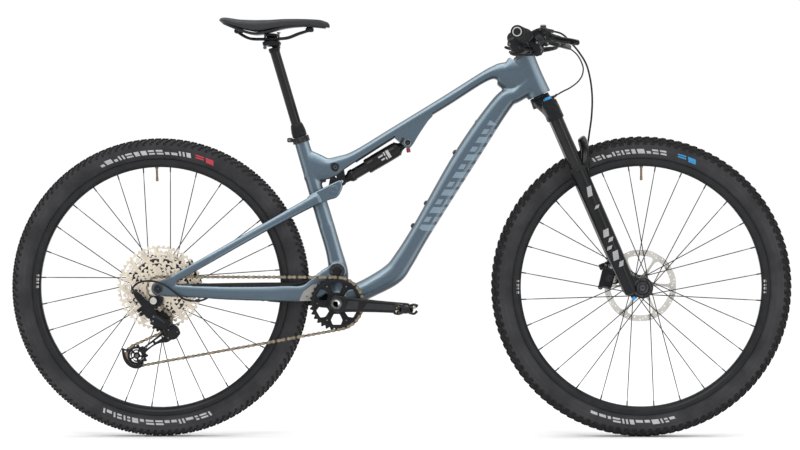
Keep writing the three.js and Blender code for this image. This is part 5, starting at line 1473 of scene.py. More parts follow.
def add_crankset():
    """Chainring with six windows, both crank arms with their pedals, spindle and cups."""
    windows = []
    for k in range(6):
        middle = -math.pi / 2 + k * math.pi / 3
        corners = [(27.5, -0.30), (41, -0.39), (53.5, -0.19), (53.5, 0.19), (41, 0.39), (27.5, 0.30)]
        raw = [(BB[0] + r * math.cos(middle + a), BB[1] + r * math.sin(middle + a)) for r, a in corners]
        softened = []
        for i, p in enumerate(raw):
            before, after = raw[i - 1], raw[(i + 1) % len(raw)]
            for t in (0.22, 0.1):
                softened.append((p[0] + (before[0] - p[0]) * t, p[1] + (before[1] - p[1]) * t))
            for t in (0.1, 0.22):
                softened.append((p[0] + (after[0] - p[0]) * t, p[1] + (after[1] - p[1]) * t))
        windows.append(softened)
    disc = plate(tooth_outline(BB, RING_TEETH, 3.6, 3.0, 0.8), RING_Y - 1.1, RING_Y + 1.1,
        [circle(BB, 17, 48), *windows], 0.4)
    lip = ring(BB, 57.5, 60.5, RING_Y - 2.0, RING_Y - 0.9, 128, 0.4)
    rib = beam([(BB[0] + 25, RING_Y - 1.2, BB[1] + 5.5, 1.6, 1.5),
        (BB[0] + 40, RING_Y - 1.2, BB[1] + 6.5, 1.5, 1.3), (BB[0] + 57, RING_Y - 1.0, BB[1] + 11, 1.2, 1.0)],
        12, 2.2)
    ribs = merge(around(rib, BB, 6), around(flipped((rib[0] * [1, 1, -1] + [0, 0, 2 * BB[1]], rib[1])), BB,
        6))
    build("chainring_disc", merge(disc, lip, ribs), "black", "cranks", ["chainring"])
    stud = rod((BB[0] + 48, RING_Y - 2.6, BB[1] + 0.1), (BB[0] + 48, RING_Y - 0.9, BB[1] + 0.1), 1.6, 6)
    build("chainring_marks", around(stud, BB, 6), "gunmetal", "cranks")
    for side, name in ((-1, "right"), (1, "left")):
        along = CRANK * -side
        end = (BB[0] + along * math.cos(CRANK_DROP), BB[1] - along * math.sin(CRANK_DROP))
        rows = []
        for t, y, high, wide in ((-0.105, 65.5, 9, 4), (-0.085, 65.2, 15, 6.5), (-0.04, 65, 19.4, 8),
            (0.03, 64.8, 20.6, 8), (0.14, 65.2, 19.4, 8), (0.3, 67.2, 17.4, 8), (0.6, 72, 14.8, 7),
            (0.9, 77.6, 13.6, 6.8), (1.0, 79, 13.4, 6.6), (1.045, 79.7, 11.4, 6), (1.072, 80, 7, 4)):
            rows.append((BB[0] + (end[0] - BB[0]) * t, side * y, BB[1] + (end[1] - BB[1]) * t, high, wide))
        arm = merge(beam(rows, 48, 4.2, cap=0.2), pin(BB, side * 56, side * 70, 20 if side < 0 else 19, 48))
        bore = [pin(BB, side * 50, side * 90, 12.2, 40)]
        build_fused(f"crank_arm_{name}", arm, "gloss", "cranks", [f"crank_{name}"], 1.3, 3,
            bore)
        facet = []
        for low, high, y_low, y_high, spread in (
            (0.42, 0.93, 77.6, 84.6, 8.6), (0.16, 0.30, 73.6, 75.4, 11.0),
        ):
            corners = [(low - 0.03, -1), (high, -1), (high + 0.02, 0.9), (low + 0.02, 0.9)]
            front = [(BB[0] + (end[0] - BB[0]) * t,
                side * (y_low + (y_high - y_low) * (t - low) / (high - low) + 0.35),
                BB[1] + (end[1] - BB[1]) * t + v * spread * (1 - 0.25 * t)) for t, v in corners]
            back = [(x, y - side * 1.6, z) for x, y, z in front]
            faces = [(0, 1, 2, 3), (7, 6, 5, 4), (0, 4, 5, 1), (1, 5, 6, 2), (2, 6, 7, 3), (3, 7, 4, 0)]
            facet.append(part(front + back, faces if side < 0 else [tuple(reversed(f)) for f in faces]))
        build(f"crank_panels_{name}", merge(*facet), "panel", "cranks")
        stub = pin(end, side * 84, side * 90, 7.4, 6)
        build(f"pedal_washer_{name}", merge(stub, pin(end, side * 85.5, side * 87, 9, 32)), "gunmetal",
            "cranks")
        add_pedal(name, end, side)
    spindle = lathe([(8.6, -74.5), (9.2, -75), (12.0, -75), (12.4, -74), (12.0, -66), (12.0, 71), (11, 72),
        (8.6, 72), (8.6, -74.5)], BB, 64)
    build("crank_spindle", spindle, "gunmetal", "cranks")
    collar = merge(ring(BB, 12.4, 15.4, -75.2, -71, 64, 0.5), ring(BB, 13, 21, -60.5, -53.4, 64, 0.8),
        ring(BB, 12.2, 16, 71, 74, 48, 0.4))
    build("crank_collars", collar, "anodised", "cranks")
    for s in (-1, 1):
        cup = lathe([(12.6, s * 49.5), (20.6, s * 49.5), (21.9, s * 48.4), (21.9, s * 46.6), (19, s * 46.2),
            (19, s * 40), (12.6, s * 40), (12.6, s * 49.5)], BB, 64)
        if s > 0:
            cup = flipped(cup)
        notches = around(box(BB[0] + 20.8, BB[0] + 22.2, s * 47.5 - 1.0, s * 47.5 + 1.0, BB[1] - 1.2,
            BB[1] + 1.2, 0.2), BB, 16)
        build(f"bottom_bracket_cup_{'right' if s < 0 else 'left'}", merge(cup, notches), "anodised", "frame",
            ["bottom_bracket"] if s < 0 else [])


def add_pedal(name, at, side):
    """A clipless pedal: a body with two cages, springs and cleat bindings."""
    x, z = at
    body = f"{name}_pedal"

    def span(a, b):
        return min(side * a, side * b), max(side * a, side * b)

    y0, y1 = span(94, 152)
    core = merge(pin(at, *span(88, 150), 8.6, 40), lathe_pedal_cap(at, side))
    forms = [
        core,
        box(x - 17, x - 9, y0, y1, z - 9, z + 9, 2.2),
        box(x + 9, x + 17, y0, y1, z - 9, z + 9, 2.2),
        box(x - 18, x + 18, y0, y0 + 7, z - 7, z + 7, 2.2),
        box(x - 18, x + 18, y1 - 7, y1, z - 7, z + 7, 2.2),
    ]
    middle = (y0 + y1) / 2
    claws = (
        ((8, 9, 2.2, 15), (19, 11.4, 2.8, 14), (28, 8, 4.2, 10)),
        ((-8, 9, 2.2, 15), (-20, 11, 2.6, 15), (-27, 5, 3.4, 12)),
    )
    for s in (1, -1):
        for rows in claws:
            claw = [(x + s * dx, middle, z + s * dz, high, wide) for dx, dz, high, wide in rows]
            forms.append(beam(claw, 20, 3.2))
    build(f"pedal_frame_{name}", merge(*forms), "black", body, [f"pedal_{name}"])
    springs = []
    for lift, reach in ((1, 1), (-1, -1), (1, -1)):
        coil = []
        for k in range(49):
            t = k / 48 * 6 * 2 * math.pi
            coil.append((x + reach * 20 + 3.6 * math.cos(t), middle - 14 + 28 * k / 48,
                z + lift * 6.4 + 3.6 * math.sin(t)))
        springs.append(tube(coil, 0.9, 8, 1))
    build(f"pedal_springs_{name}", merge(*springs), "brass", body)
    bars = merge(
        *[rod((x + s * 23.5, middle - 17, z + s * 3.8), (x + s * 23.5, middle + 17, z + s * 3.8), 2.1, 20)
            for s in (-1, 1)],
        *[box(x + s * 10, x + s * 15, middle - 12, middle + 12, z + s * 10.2, z + s * 12, 0.5)
            for s in (-1, 1)],
        rod((x + 22, middle - 5, z + 7), (x + 22, middle - 9, z + 12), 1.6, 6),
    )
    build(f"pedal_bindings_{name}", bars, "steel", body)


def lathe_pedal_cap(at, side):
    """The domed end of the pedal's axle."""
    rows = [(0.5, 154), (5.5, 154), (7.2, 153), (7.8, 150), (0.5, 150), (0.5, 154)]
    cap = lathe([(r, side * y) for r, y in rows], at, 32)
    return cap if side < 0 else flipped(cap)


def chain_route():
    """Points every half pitch round the chain's four wheels, each with its heading."""
    used = COGS[COG_IN_USE]
    plane = cog_y(COG_IN_USE)
    wheels = [(REAR, pitch_radius(used), 1, plane), (BB, pitch_radius(RING_TEETH), 1, RING_Y),
        (TENSION, pitch_radius(13), 1, plane), (GUIDE, pitch_radius(13), -1, plane)]
    headings = []
    for i, (a, ra, ta, _) in enumerate(wheels):
        b, rb, tb, _ = wheels[(i + 1) % 4]
        gap = math.hypot(b[0] - a[0], b[1] - a[1])
        headings.append(math.atan2(b[1] - a[1], b[0] - a[0]) - math.asin((ta * ra - tb * rb) / gap))
    points = []
    for i, (at, r, turn, y) in enumerate(wheels):
        first = headings[i - 1]
        sweep = headings[i] - first
        while sweep * turn > 0:
            sweep -= turn * 2 * math.pi
        while sweep * turn <= -2 * math.pi:
            sweep += turn * 2 * math.pi
        for k in range(25):
            angle = first + sweep * k / 24
            points.append((at[0] - turn * r * math.sin(angle), y, at[1] + turn * r * math.cos(angle)))
    return np.array(points + points[:1])


def add_chain():
    route = chain_route()
    reach = np.concatenate([[0], np.cumsum(np.linalg.norm(np.diff(route, axis=0), axis=1))])
    links = 2 * round(reach[-1] / PITCH / 2)
    at = np.linspace(0, reach[-1], links + 1)
    joints = np.column_stack([np.interp(at, reach, route[:, k]) for k in range(3)])
    def side_plate(y0, y1, big, waist):
        outline = []
        for end, start in ((PITCH / 2, -math.pi / 2), (-PITCH / 2, math.pi / 2)):
            for k in range(9):
                a = start + k * math.pi / 8
                outline.append((end + big * math.cos(a), big * math.sin(a)))
            outline.append((0, waist if end > 0 else -waist))
        return plate(outline, y0, y1, (), 0.15)
    outer = merge(side_plate(-3.3, -2.45, 4.1, 2.5), side_plate(2.45, 3.3, 4.1, 2.5),
        pin((-PITCH / 2, 0), -3.6, 3.6, 1.8, 14), pin((PITCH / 2, 0), -3.6, 3.6, 1.8, 14))
    inner = merge(side_plate(-2.3, -1.45, 3.7, 2.2), side_plate(1.45, 2.3, 3.7, 2.2),
        pin((-PITCH / 2, 0), -1.4, 1.4, 3.7, 18), pin((PITCH / 2, 0), -1.4, 1.4, 3.7, 18))
    outers, inners = [], []
    for k in range(links):
        a, b = joints[k], joints[k + 1]
        angle = math.atan2(b[2] - a[2], b[0] - a[0])
        middle = (a + b) / 2
        form = moved(turned(outer if k % 2 else inner, angle, (0, 0)), *middle)
        (outers if k % 2 else inners).append(form)
    for name, forms, material_key in (("outer", outers, "chain"), ("inner", inners, "chain_dark")):
        piece = build(f"chain_{name}_links", merge(*forms), material_key, None)
        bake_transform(piece)
        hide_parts("chain")


# ---- Rear derailleur ----
def add_derailleur():
    y = cog_y(COG_IN_USE)
    hanger = plate(rounded([(-618, 351.5), (-603, 352.6), (-586, 350), (-588, 332), (-602, 326),
        (-618, 332)], 5), -81.8, -74.6, [circle(HANGER_BOLT, 4, 20)], 1.0)
    build("derailleur_hanger", hanger, "anodised", "swingarm")
    arm = [
        beam([(-653, y - 26, 361, 6, 6.5), (-645, y - 27, 351, 8.5, 7), (-632, y - 27, 336, 9.5, 7),
            (-618, y - 26, 319, 10.5, 7.5), (-606, y - 25, 303, 9, 7.5), (-602, y - 24, 297, 6, 6)], 32, 3.2,
            up=(1, 0, 1)),
        plate(hull_link(HANGER_BOLT, (-619, 322), 11.5, 9), -95.5, -82.5, (), 1.6),
        plate(hull_link((-632, 318), (-619, 306), 6.4, 8.5), -96, -80, (), 1.4),
        rod((-634, y - 22, 326), (-648, y - 22, 315), 4.6, 20),
        rod((-628, y - 22, 316), (-642, y - 22, 306), 4.6, 20),
    ]
    build_fused(
        "derailleur_mount_knuckle", merge(*arm), "black", "swingarm",
        ["derailleur_hanger_knuckle"], 0.9, 3,
    )
    build("hanger_bolt", cap_bolt(HANGER_BOLT, -100, 8.6, -1, 0.5, 2.4), "steel", "swingarm")
    screws = merge(rod((-640, y - 22, 321), (-650.5, y - 22, 313.4), 2.6, 6),
        rod((-634, y - 22, 311), (-644.5, y - 22, 304), 2.6, 6))
    build("limit_screws", screws, "gunmetal", "swingarm")
    barrel = merge(rod((-652, y - 26, 359), (-657.5, y - 26, 366.5), 5.0, 24, 4.4),
        rod((-657.5, y - 26, 366.5), (-661, y - 26, 371.4), 3.4, 20, 2.6))
    build("cable_stop", barrel, "anodised", "swingarm")
    plates = [
        beam([(-613, y - 33, 302, 9.5, 3.0), (-598, y - 34.5, 294, 11.5, 3.6),
            (-582, y - 35, 284, 11.5, 3.6), (-573, y - 34, 279, 9, 3)], 28, 3.4),
        beam([(-612, y - 22, 296, 8.5, 2.6), (-597, y - 21, 288, 9.5, 3.0), (-582, y - 20, 279, 9.5, 3.0),
            (-575, y - 20, 274, 8, 2.6)], 28, 3.4),
    ]
    build("parallelogram_plates", merge(*plates), "black", "derailleur_arm",
        ["derailleur_link"])
    pins = [rod((x, y - 38.4, z), (x, y - 17, z), 2.5, 20) for x, z in ((-607, 303), (-609, 292))]
    ridge = beam([(-606, y - 37.6, 304, 2.0, 1.2), (-592, y - 38.6, 297, 2.2, 1.2),
        (-580, y - 38.6, 288, 1.8, 1.2)], 16, 2.6)
    build("parallelogram_pins", merge(*pins), "gunmetal", "derailleur_arm")
    build("parallelogram_ridge", ridge, "panel", "derailleur_arm")
    body = [
        turned_on((CAGE_PIVOT[0], y - 32, CAGE_PIVOT[1]), (CAGE_PIVOT[0], y - 10, CAGE_PIVOT[1]),
            [(0, 0.5), (0, 15), (1.2, 17.2), (4, 18.6), (16, 19.4), (20, 19), (21.5, 17), (21.5, 0.5)], 64),
        plate(hull_link((-578, 287), CAGE_PIVOT, 9.5, 16), y - 31, y - 13, (), 2.2),
        plate(hull_link((-551, 262), CAGE_PIVOT, 8, 13), y - 28, y - 12, (), 2.0),
        box(-575, -556, y - 30, y - 14, 246, 252, 2.0),
    ]
    build_fused(
        "derailleur_lower_knuckle", merge(*body), "black", "derailleur_knuckle",
        ["derailleur_cage_knuckle"], 0.8, 3,
    )
    cap_at = (CAGE_PIVOT[0] + 1.5, CAGE_PIVOT[1] - 4)
    cap = [plate(circle(cap_at, 10.5, 48), y - 33.6, y - 31.6, (), 0.6),
        box(cap_at[0] - 7.4, cap_at[0] + 7.4, y - 34.8, y - 33.2, cap_at[1] - 1.6, cap_at[1] + 1.6, 0.5)]
    build("clutch_cover", merge(*cap), "plastic", "derailleur_knuckle")
    switch = [beam([(-573, y - 33, 279, 2.6, 2), (-565, y - 33.6, 284, 2.6, 2), (-556, y - 33, 282, 2.2, 2)],
        16, 2.6)]
    build("clutch_switch", merge(*switch), "panel", "derailleur_knuckle")
    cover_bolts = merge(*[rod((cap_at[0] + 13.4 * math.cos(a), y - 33, cap_at[1] + 13.4 * math.sin(a)),
        (cap_at[0] + 13.4 * math.cos(a), y - 31, cap_at[1] + 13.4 * math.sin(a)), 1.8, 12)
        for a in (0.4, 2.3, 3.9)])
    build("clutch_bolts", cover_bolts, "gunmetal", "derailleur_knuckle")
    add_cage(y)


def add_cage(y):
    """The derailleur's cage, with its guards, bolts and two pulleys."""
    run = unit(np.array([TENSION[0] - CAGE_PIVOT[0], TENSION[1] - CAGE_PIVOT[1]]))
    side = np.array([-run[1], run[0]])
    def at(along, across):
        p = np.array(CAGE_PIVOT) + run * along + side * across
        return (p[0], p[1])
    gap = math.hypot(TENSION[0] - CAGE_PIVOT[0], TENSION[1] - CAGE_PIVOT[1])
    outline = [at(a, b) for a, b in ((-9, -8), (4, -14.5), (30, -12), (62, -9.5), (gap - 16, -8.5),
        (gap - 4, -15), (gap + 10, -13), (gap + 13, 0), (gap + 10, 12), (gap - 4, 14), (gap - 17, 7),
        (62, 3.5), (40, 6.5), (24, 15), (4, 14), (-9, 8))]
    outline = rounded(outline, 4)
    slots = []
    for a0, a1, b0, b1 in ((24, 50, -6.5, -1.5), (55, 78, -5.0, -0.6)):
        slots.append([at(a0, b0), at(a1, b0 * 0.9), at(a1, b1), at(a0, b1)])
    for k in range(5):
        middle = 0.5 + k * 2 * math.pi / 5
        slots.append(sector(TENSION, 6.6, 12.6, middle - 0.44, middle + 0.44, 5))
    outer = plate(outline, y - 8, y - 6.1, slots, 0.5)
    inner = plate(outline, y + 5.6, y + 7.4, slots, 0.5)
    guard = []
    for t, r, wide in ((153, 38.5, 1.4), (160, 36.5, 2.4), (172, 33.0, 3.2), (188, 30.4, 3.8),
        (205, 28.8, 4.2), (225, 28.0, 4.4), (245, 27.8, 4.4), (265, 28, 4.2), (284, 28, 3.8), (302, 27, 3.0)):
        a = math.radians(t)
        guard.append((TENSION[0] + r * math.cos(a), y - 6.4, TENSION[1] + r * math.sin(a), 2.0, wide))
    guard_rows = beam(guard, 16, 3.0, up=(0, 1, 0))
    guard_inner = moved(guard_rows, 0, 13.0, 0)
    tie = beam([(TENSION[0] - 32, y - 6.6, TENSION[1] + 15, 2.2, 1.8),
        (TENSION[0] - 10, y - 6.9, TENSION[1] + 12, 2.6, 1.8)], 12, 3)
    foot = beam([(TENSION[0] + 3, y - 6.6, TENSION[1] - 24, 3, 1.8),
        (TENSION[0] + 8, y - 6.9, TENSION[1] - 10, 3.4, 1.8)], 12, 3)
    spur = plate(hull_link(CAGE_PIVOT, GUIDE, 13, 7.5), y - 7.9, y - 6.2, (), 0.5)
    spur_inner = plate(hull_link(CAGE_PIVOT, GUIDE, 13, 7.5), y + 5.7, y + 7.3, (), 0.5)
    build("cage_plates", merge(outer, inner, guard_rows, guard_inner, tie, foot, spur, spur_inner), "black",
        "derailleur_cage_unit", ["derailleur_cage"])
    bolts = merge(*[merge(rod((p[0], y - 9, p[1]), (p[0], y - 7.8, p[1]), 4.2, 28),
        rod((p[0], y - 7.9, p[1]), (p[0], y + 7.6, p[1]), 3.4, 20)) for p in (GUIDE, TENSION)])
    build("cage_bolts", bolts, "gunmetal", "derailleur_cage_unit")
    for name, p, holes in (("guide", GUIDE, 0), ("tension", TENSION, 5)):
        cuts = [circle(p, 4.6, 32)]
        for k in range(holes):
            middle = 0.5 + k * 2 * math.pi / holes
            cuts.append(sector(p, 8.4, 17.2, middle - 0.47, middle + 0.47, 5))
        wheel = plate(tooth_outline(p, 13, 4.0, 1.6, 0.8), y - 1.2, y + 1.2, cuts, 0.4)
        rim_lip = ring(p, 18.6, 20.6, y - 1.7, y + 1.7, 64, 0.4)
        build(f"{name}_pulley_wheel", merge(wheel, rim_lip, ring(p, 4.4, 8.0, y - 3.2, y + 3.2, 40, 0.5)),
            "plastic", f"{name}_wheel", [f"{name}_pulley"])


# ---- Fork ----
def leg(side, z):
    return (LEG_X, side * LEG_Y, z)


def add_fork():
    half = [
        (15, -88, -43, 10, 9), (15, -84, -43, 17, 16), (15, -66, -43, 21.5, 20.5), (12, -44, -34, 17, 21.5),
        (4, -20, -16, 14, 23),
    ]
    crown = beam(both_sides(half, (3, 0, -14, 14, 24)), 40, 2.8)
    base = rod((0, 0, -24), (0, 0, 2.4), 26, 48, 24.6, 1.2)
    sockets = [rod(leg(s, -68), leg(s, -20), 20.6, 48, 19.6, 1.6) for s in (-1, 1)]
    hollows = [steered(rod((15, s * 40, -60), (15, s * 14, -48), 7.5, 20)) for s in (-1, 1)]
    form = steered(merge(crown, base, *sockets))
    build_fused("fork_crown", form, "black", "steerer", ["fork_uppers"], 1.4, 4, hollows)
    legs = merge(*[turned_on(leg(s, -332), leg(s, -60), [(0, 14.8), (0, 16.6), (0.6, 17), (271, 17),
        (271, 0.5)], 48) for s in (-1, 1)])
    steerer = turned_on((0, 0, -20), (0, 0, 155), [(0, 11.2), (0, 14.2), (174, 14.2), (175, 13.8),
        (175, 11.2)], 40)
    build("fork_stanchions", steered(legs), "stanchion", "steerer")
    build("steerer_tube", steered(steerer), "anodised", "steerer")
    collar = merge(*[turned_on(leg(s, -24), leg(s, -15.4), [(0, 0.5), (0, 18.6), (2, 18.6), (3, 17),
        (8, 16.4), (8.6, 15.6), (8.6, 0.5)], 48) for s in (-1, 1)])
    build("fork_top_caps", steered(collar), "anodised", "steerer")
    dial = turned_on(leg(-1, -18), leg(-1, -8.6), [(0, 0.5), (0, 9.6), (1, 10.2), (6.6, 10.2), (8.8, 9.2),
        (9.4, 7), (9.4, 0.5)], 40)
    build("fork_dial_knob", steered(dial), "blue", "fork_dial", ["fork_lockout_dial"])
    knob_ribs = merge(*[rod((LEG_X + 10 * math.cos(a), -LEG_Y + 10 * math.sin(a), -16.6),
        (LEG_X + 10 * math.cos(a), -LEG_Y + 10 * math.sin(a), -11.8), 0.8, 8)
        for a in np.arange(14) / 14 * 2 * math.pi])
    build("fork_dial_ribs", steered(knob_ribs), "blue", "fork_dial")
    guide = merge(rod((LEG_X + 2, -LEG_Y + 2, -12), (LEG_X + 21, -LEG_Y + 6, -14), 3.2, 16),
        rod((LEG_X + 19, -LEG_Y + 5.6, -14), (LEG_X + 26, -LEG_Y + 6.6, -11.6), 2.8, 14))
    build("lockout_cable_stop", steered(guide), "anodised", "steerer")
    add_fork_lowers()


def add_fork_lowers():
    forms = []
    for s in (-1, 1):
        profile = [(0, 16.4), (2, 16.9), (10, 17.6), (60, 19.0), (120, 20.2), (300, 20.5), (322, 21.2),
            (330, 21.6), (331, 20.4), (331, 0.5), (0, 0.5)]
        forms.append(turned_on(leg(s, -534), leg(s, -203), [(0, 0.5)] + profile[:-1], 48))
        y0, y1 = sorted((s * 57, s * 76))
        forms.append(plate(circle(FORK_AXLE, 26.5 if s < 0 else 23, 56), y0, y1, (), 2.6))
        forms.append(plate(hull_link((LEG_X, -498), FORK_AXLE, 16, 20), y0 + 0.5, y1 - 1.0, (), 3.0))
    half = [
        (14, -66, -236, 10, 6), (18, -64.5, -222, 14, 9), (36, -61, -197, 11, 8.5), (50, -49, -168, 10.5, 8),
        (54, -27, -147, 11, 8),
    ]
    arch = beam(both_sides(half, (55, 0, -140, 11, 8)), 32, 3.0, up=(1, 0, 0.25))
    tabs = [box(-32, 8, 52, 64, z - 8, z + 8, 2) for z in (-498, -452)]
    bores = [rod(leg(s, -458), leg(s, -100), 17.5, 48) for s in (-1, 1)]
    inside = both_sides([(44, -44, -174, 5.5, 4), (48, -24, -156, 5.5, 4)], (49, 0, -150, 5.5, 4))
    hollow = beam(inside, 20, 3.0, up=(1, 0, 0.25))
    axle_hole = plate(circle(FORK_AXLE, 8, 32), -100, 100, (), 0.0)
    room = beside_fork_axle(box(-22, 18, 30, 63.2, -35, 35, 1.0))
    cutters = [steered(p) for p in (*bores, hollow, axle_hole, room)]
    casting = steered(merge(*forms, arch, *tabs))
    build_fused("fork_lower_casting", casting, "gloss", "fork_lower_legs", ["fork_lowers"],
        1.5, 4, cutters)
    seals = merge(*[turned_on(leg(s, -206), leg(s, -196), [(0, 17.3), (0, 20.6), (5, 20.6), (8, 19.2),
        (10, 17.6), (10, 17.2)], 48) for s in (-1, 1)])
    build("fork_dust_seals", steered(seals), "plastic", "fork_lower_legs")
    axle = lathe([(0.6, -82), (8, -82), (9, -81), (9, -76.4), (7.4, -76.2), (7.4, 76.2), (9, 76.4),
        (9, 79.2), (8.2, 80), (0.6, 80)], FRONT, 48)
    build("front_through_axle", axle, "anodised", "fork_lower_legs", ["front_axle"])
    build("front_axle_caps", merge(cap_bolt(FRONT, -83, 6.6, -1, 0.55), cap_bolt(FRONT, 81, 6.6, 1, 0.55)),
        "gunmetal", "fork_lower_legs")
    boss = merge(ring(FRONT, 10, 15, -78.6, -75.6, 64, 0.6), ring(FRONT, 18.6, 23.5, -77.4, -75.6, 64, 0.6))
    build("fork_dropout_ring", boss, "anodised", "fork_lower_legs")
    feet = merge(*[turned_on(leg(s, -545), leg(s, -533), [(0, 0.5), (0, 5.4), (1, 6.4), (6, 6.4), (7, 11),
        (12, 14), (12, 0.5)], 32) for s in (-1, 1)])
    build("fork_foot_nuts", steered(feet), "anodised", "fork_lower_legs")
    rebound = turned_on(leg(-1, -551), leg(-1, -544), [(0, 0.5), (0, 5.6), (1, 6.2), (7, 6.2), (7, 0.5)], 24)
    build("fork_rebound_cap", steered(rebound), "blue", "fork_lower_legs")
    bars = []
    for z, height, tilt in ((-262, 24, 0.5), (-304, 7, 0.7), (-372, 18, 0.1), (-391, 9, 0.6),
        (-409, 8, -0.4), (-432, 22, 0.1), (-456, 12, 0.6)):
        radius = 20.95
        patch = []
        for row in range(9):
            level = z - height / 2 + height * row / 8
            ring_row = []
            for k in range(9):
                a = math.radians(-122 + tilt * 34 + 5.2 * k * (1 - 0.35 * abs(tilt)) + 2.2 * row)
                ring_row.append((LEG_X + radius * math.cos(a), -LEG_Y + radius * math.sin(a), level))
            patch.append(ring_row)
        bars.append(sheet_patch(patch, (LEG_X, -LEG_Y), 0.7))
    build("fork_graphic", steered(merge(*bars)), "graphic", "fork_lower_legs")


def sheet_patch(rows, centre, depth):
    """A thin closed patch laid on a leg, sunk by depth towards its centre line."""
    front = [p for row in rows for p in row]
    back = []
    for x, y, z in front:
        away = np.array([x - centre[0], y - centre[1]])
        away = away / np.linalg.norm(away) * depth
        back.append((x - away[0], y - away[1], z))
    wide, high = len(rows[0]), len(rows)
    count = wide * high
    faces = []
    for r in range(high - 1):
        for c in range(wide - 1):
            i = r * wide + c
            faces.append((i, i + 1, i + wide + 1, i + wide))
            faces.append((i + count, i + wide + count, i + wide + 1 + count, i + 1 + count))
    rim = [*range(wide), *[r * wide + wide - 1 for r in range(1, high)],
        *[count - 1 - k for k in range(1, wide)], *[r * wide for r in range(high - 2, 0, -1)]]
    for a, b in zip(rim, rim[1:] + rim[:1]):
        faces.append((a, a + count, b + count, b))
    return part(front + back, faces)


# ---- Cockpit ----
def bar_point(y):
    out = max(abs(y) - 50, 0)
    return np.array([BAR[0] - out * BAR_SWEEP, y, BAR[1] + out * BAR_RISE])


def add_stem():
    forms = [
        turned_on((0, 0, 118), (0, 0, 157), [(0, 0.5), (0, 17.6), (1.4, 19), (37.6, 19), (39, 17.6),
            (39, 0.5)], 56),
        turned_on((50, -23, 128), (50, 23, 128), [(0, 0.5), (0, 19.6), (1.4, 21), (44.6, 21), (46, 19.6),
            (46, 0.5)], 56),
        beam([(-4, 0, 137.4, 14.5, 17), (18, 0, 134.4, 14.0, 14.5), (34, 0, 131, 15, 17),
            (50, 0, 128, 16.5, 20)], 36, 3.0),
        *[box(48 + 15.4, 48 + 22, s * 15 - 4.2, s * 15 + 4.2, 128 + t * 17 - 4, 128 + t * 17 + 4, 1.4)
            for s in (-1, 1) for t in (-1, 1)],
        *[rod((-16, -11, z), (-16, 11, z), 5.6, 28) for z in (126, 149)],
    ]
    bores = [steered(rod((50, -40, 128), (50, 40, 128), 16.1, 56)),
        steered(rod((0, 0, 90), (0, 0, 154), 14.5, 48))]
    build_fused("stem_body", steered(merge(*forms)), "black", "steerer", ["stem"], 1.1, 3,
        bores)
    bolts = [rod((73.4, s * 15, 128 + t * 17), (68, s * 15, 128 + t * 17), 3.6, 24) for s in (-1, 1)
        for t in (-1, 1)]
    bolts += [rod((-16, -13.4, z), (-16, -10, z), 3.4, 24) for z in (126, 149)] + [rod((-16, 10, z),
        (-16, 13.4, z), 3.4, 24) for z in (126, 149)]
    build("stem_bolts", steered(merge(*bolts)), "gunmetal", "steerer")
    cap = turned_on((0, 0, 156.6), (0, 0, 160.5), [(0, 0.5), (0, 17.4), (2.6, 17.4), (3.8, 15.6), (3.8, 4.4),
        (2.4, 4.0), (2.4, 0.5)], 48)
    build("steerer_top_cap", steered(cap), "anodised", "steerer")
    cover = turned_on((2.5, 0, 108.6), (0.6, 0, 117.6), [(0, 15.2), (0, 28.6), (1.5, 29.4), (4, 27.2),
        (7.6, 22.6), (8.8, 21), (8.8, 15.2), (0, 15.2)], 64)
    spacer = turned_on((0, 0, 117.4), (0, 0, 118.2), [(0, 14.4), (0, 18.6), (0.7, 18.6), (0.7, 14.4),
        (0, 14.4)], 48)
    build("headset_cap", steered(merge(cover, spacer)), "cover", "steerer", ["headset_cover"])


def add_bar():
    right = [(0, 15.9), (30, 15.9), (46, 15.8), (70, 14.9), (98, 12.4), (120, 11.2), (150, 11.1),
        (250, 11.1), (374, 11.1)]
    rows = [(y, r) for y, r in reversed(right)] + [(-y, r) for y, r in right[1:]]
    bar = beam([(*bar_point(y), r, r) for y, r in rows], 40, 2.0)
    build("handlebar_tube", bar, "bar", "steerer", ["handlebar"])
    for side, name in ((-1, "right"), (1, "left")):
        a, b = bar_point(side * 246), bar_point(side * 380)
        rows = [(0, 11.6), (0, 15.4), (1, 16.3), (6.4, 16.3), (7.4, 15.2), (8.6, 15.2)]
        for k in range(22):
            d = 10 + k * 4.9
            rows += [(d, 15.1), (d + 0.7, 16.0), (d + 3.0, 16.0), (d + 3.7, 15.1)]
        rows += [(119, 15.2), (121, 16.2), (134, 16.2), (136.0, 15.4), (136.6, 14.2), (136.6, 11.6),
            (0, 11.6)]
        build(f"grip_sleeve_{name}", turned_on(a, b, rows, 56), "grip", "steerer",
            [f"grip_{name}"])
        lock = turned_on(a, b, [(0.4, 16.0), (1, 16.9), (6, 16.9), (6.8, 16.0), (0.4, 16.0)], 56)
        build(f"grip_lock_{name}", lock, "anodised", "steerer")
        white = turned_on(a, b, [(136.4, 8.8), (136.4, 11.5), (137.3, 11.3), (137.3, 9.0), (136.4, 8.8)], 48)
        build(f"grip_end_ring_{name}", white, "marks", "steerer")
        plug = turned_on(a, b, [(133, 0.5), (133, 8.9), (136.9, 8.7), (137.2, 7.4), (136.4, 6.4),
            (135.9, 3.2), (137.4, 2.6), (137.4, 0.5)], 40)
        build(f"bar_end_plug_{name}", plug, "plastic", "steerer")


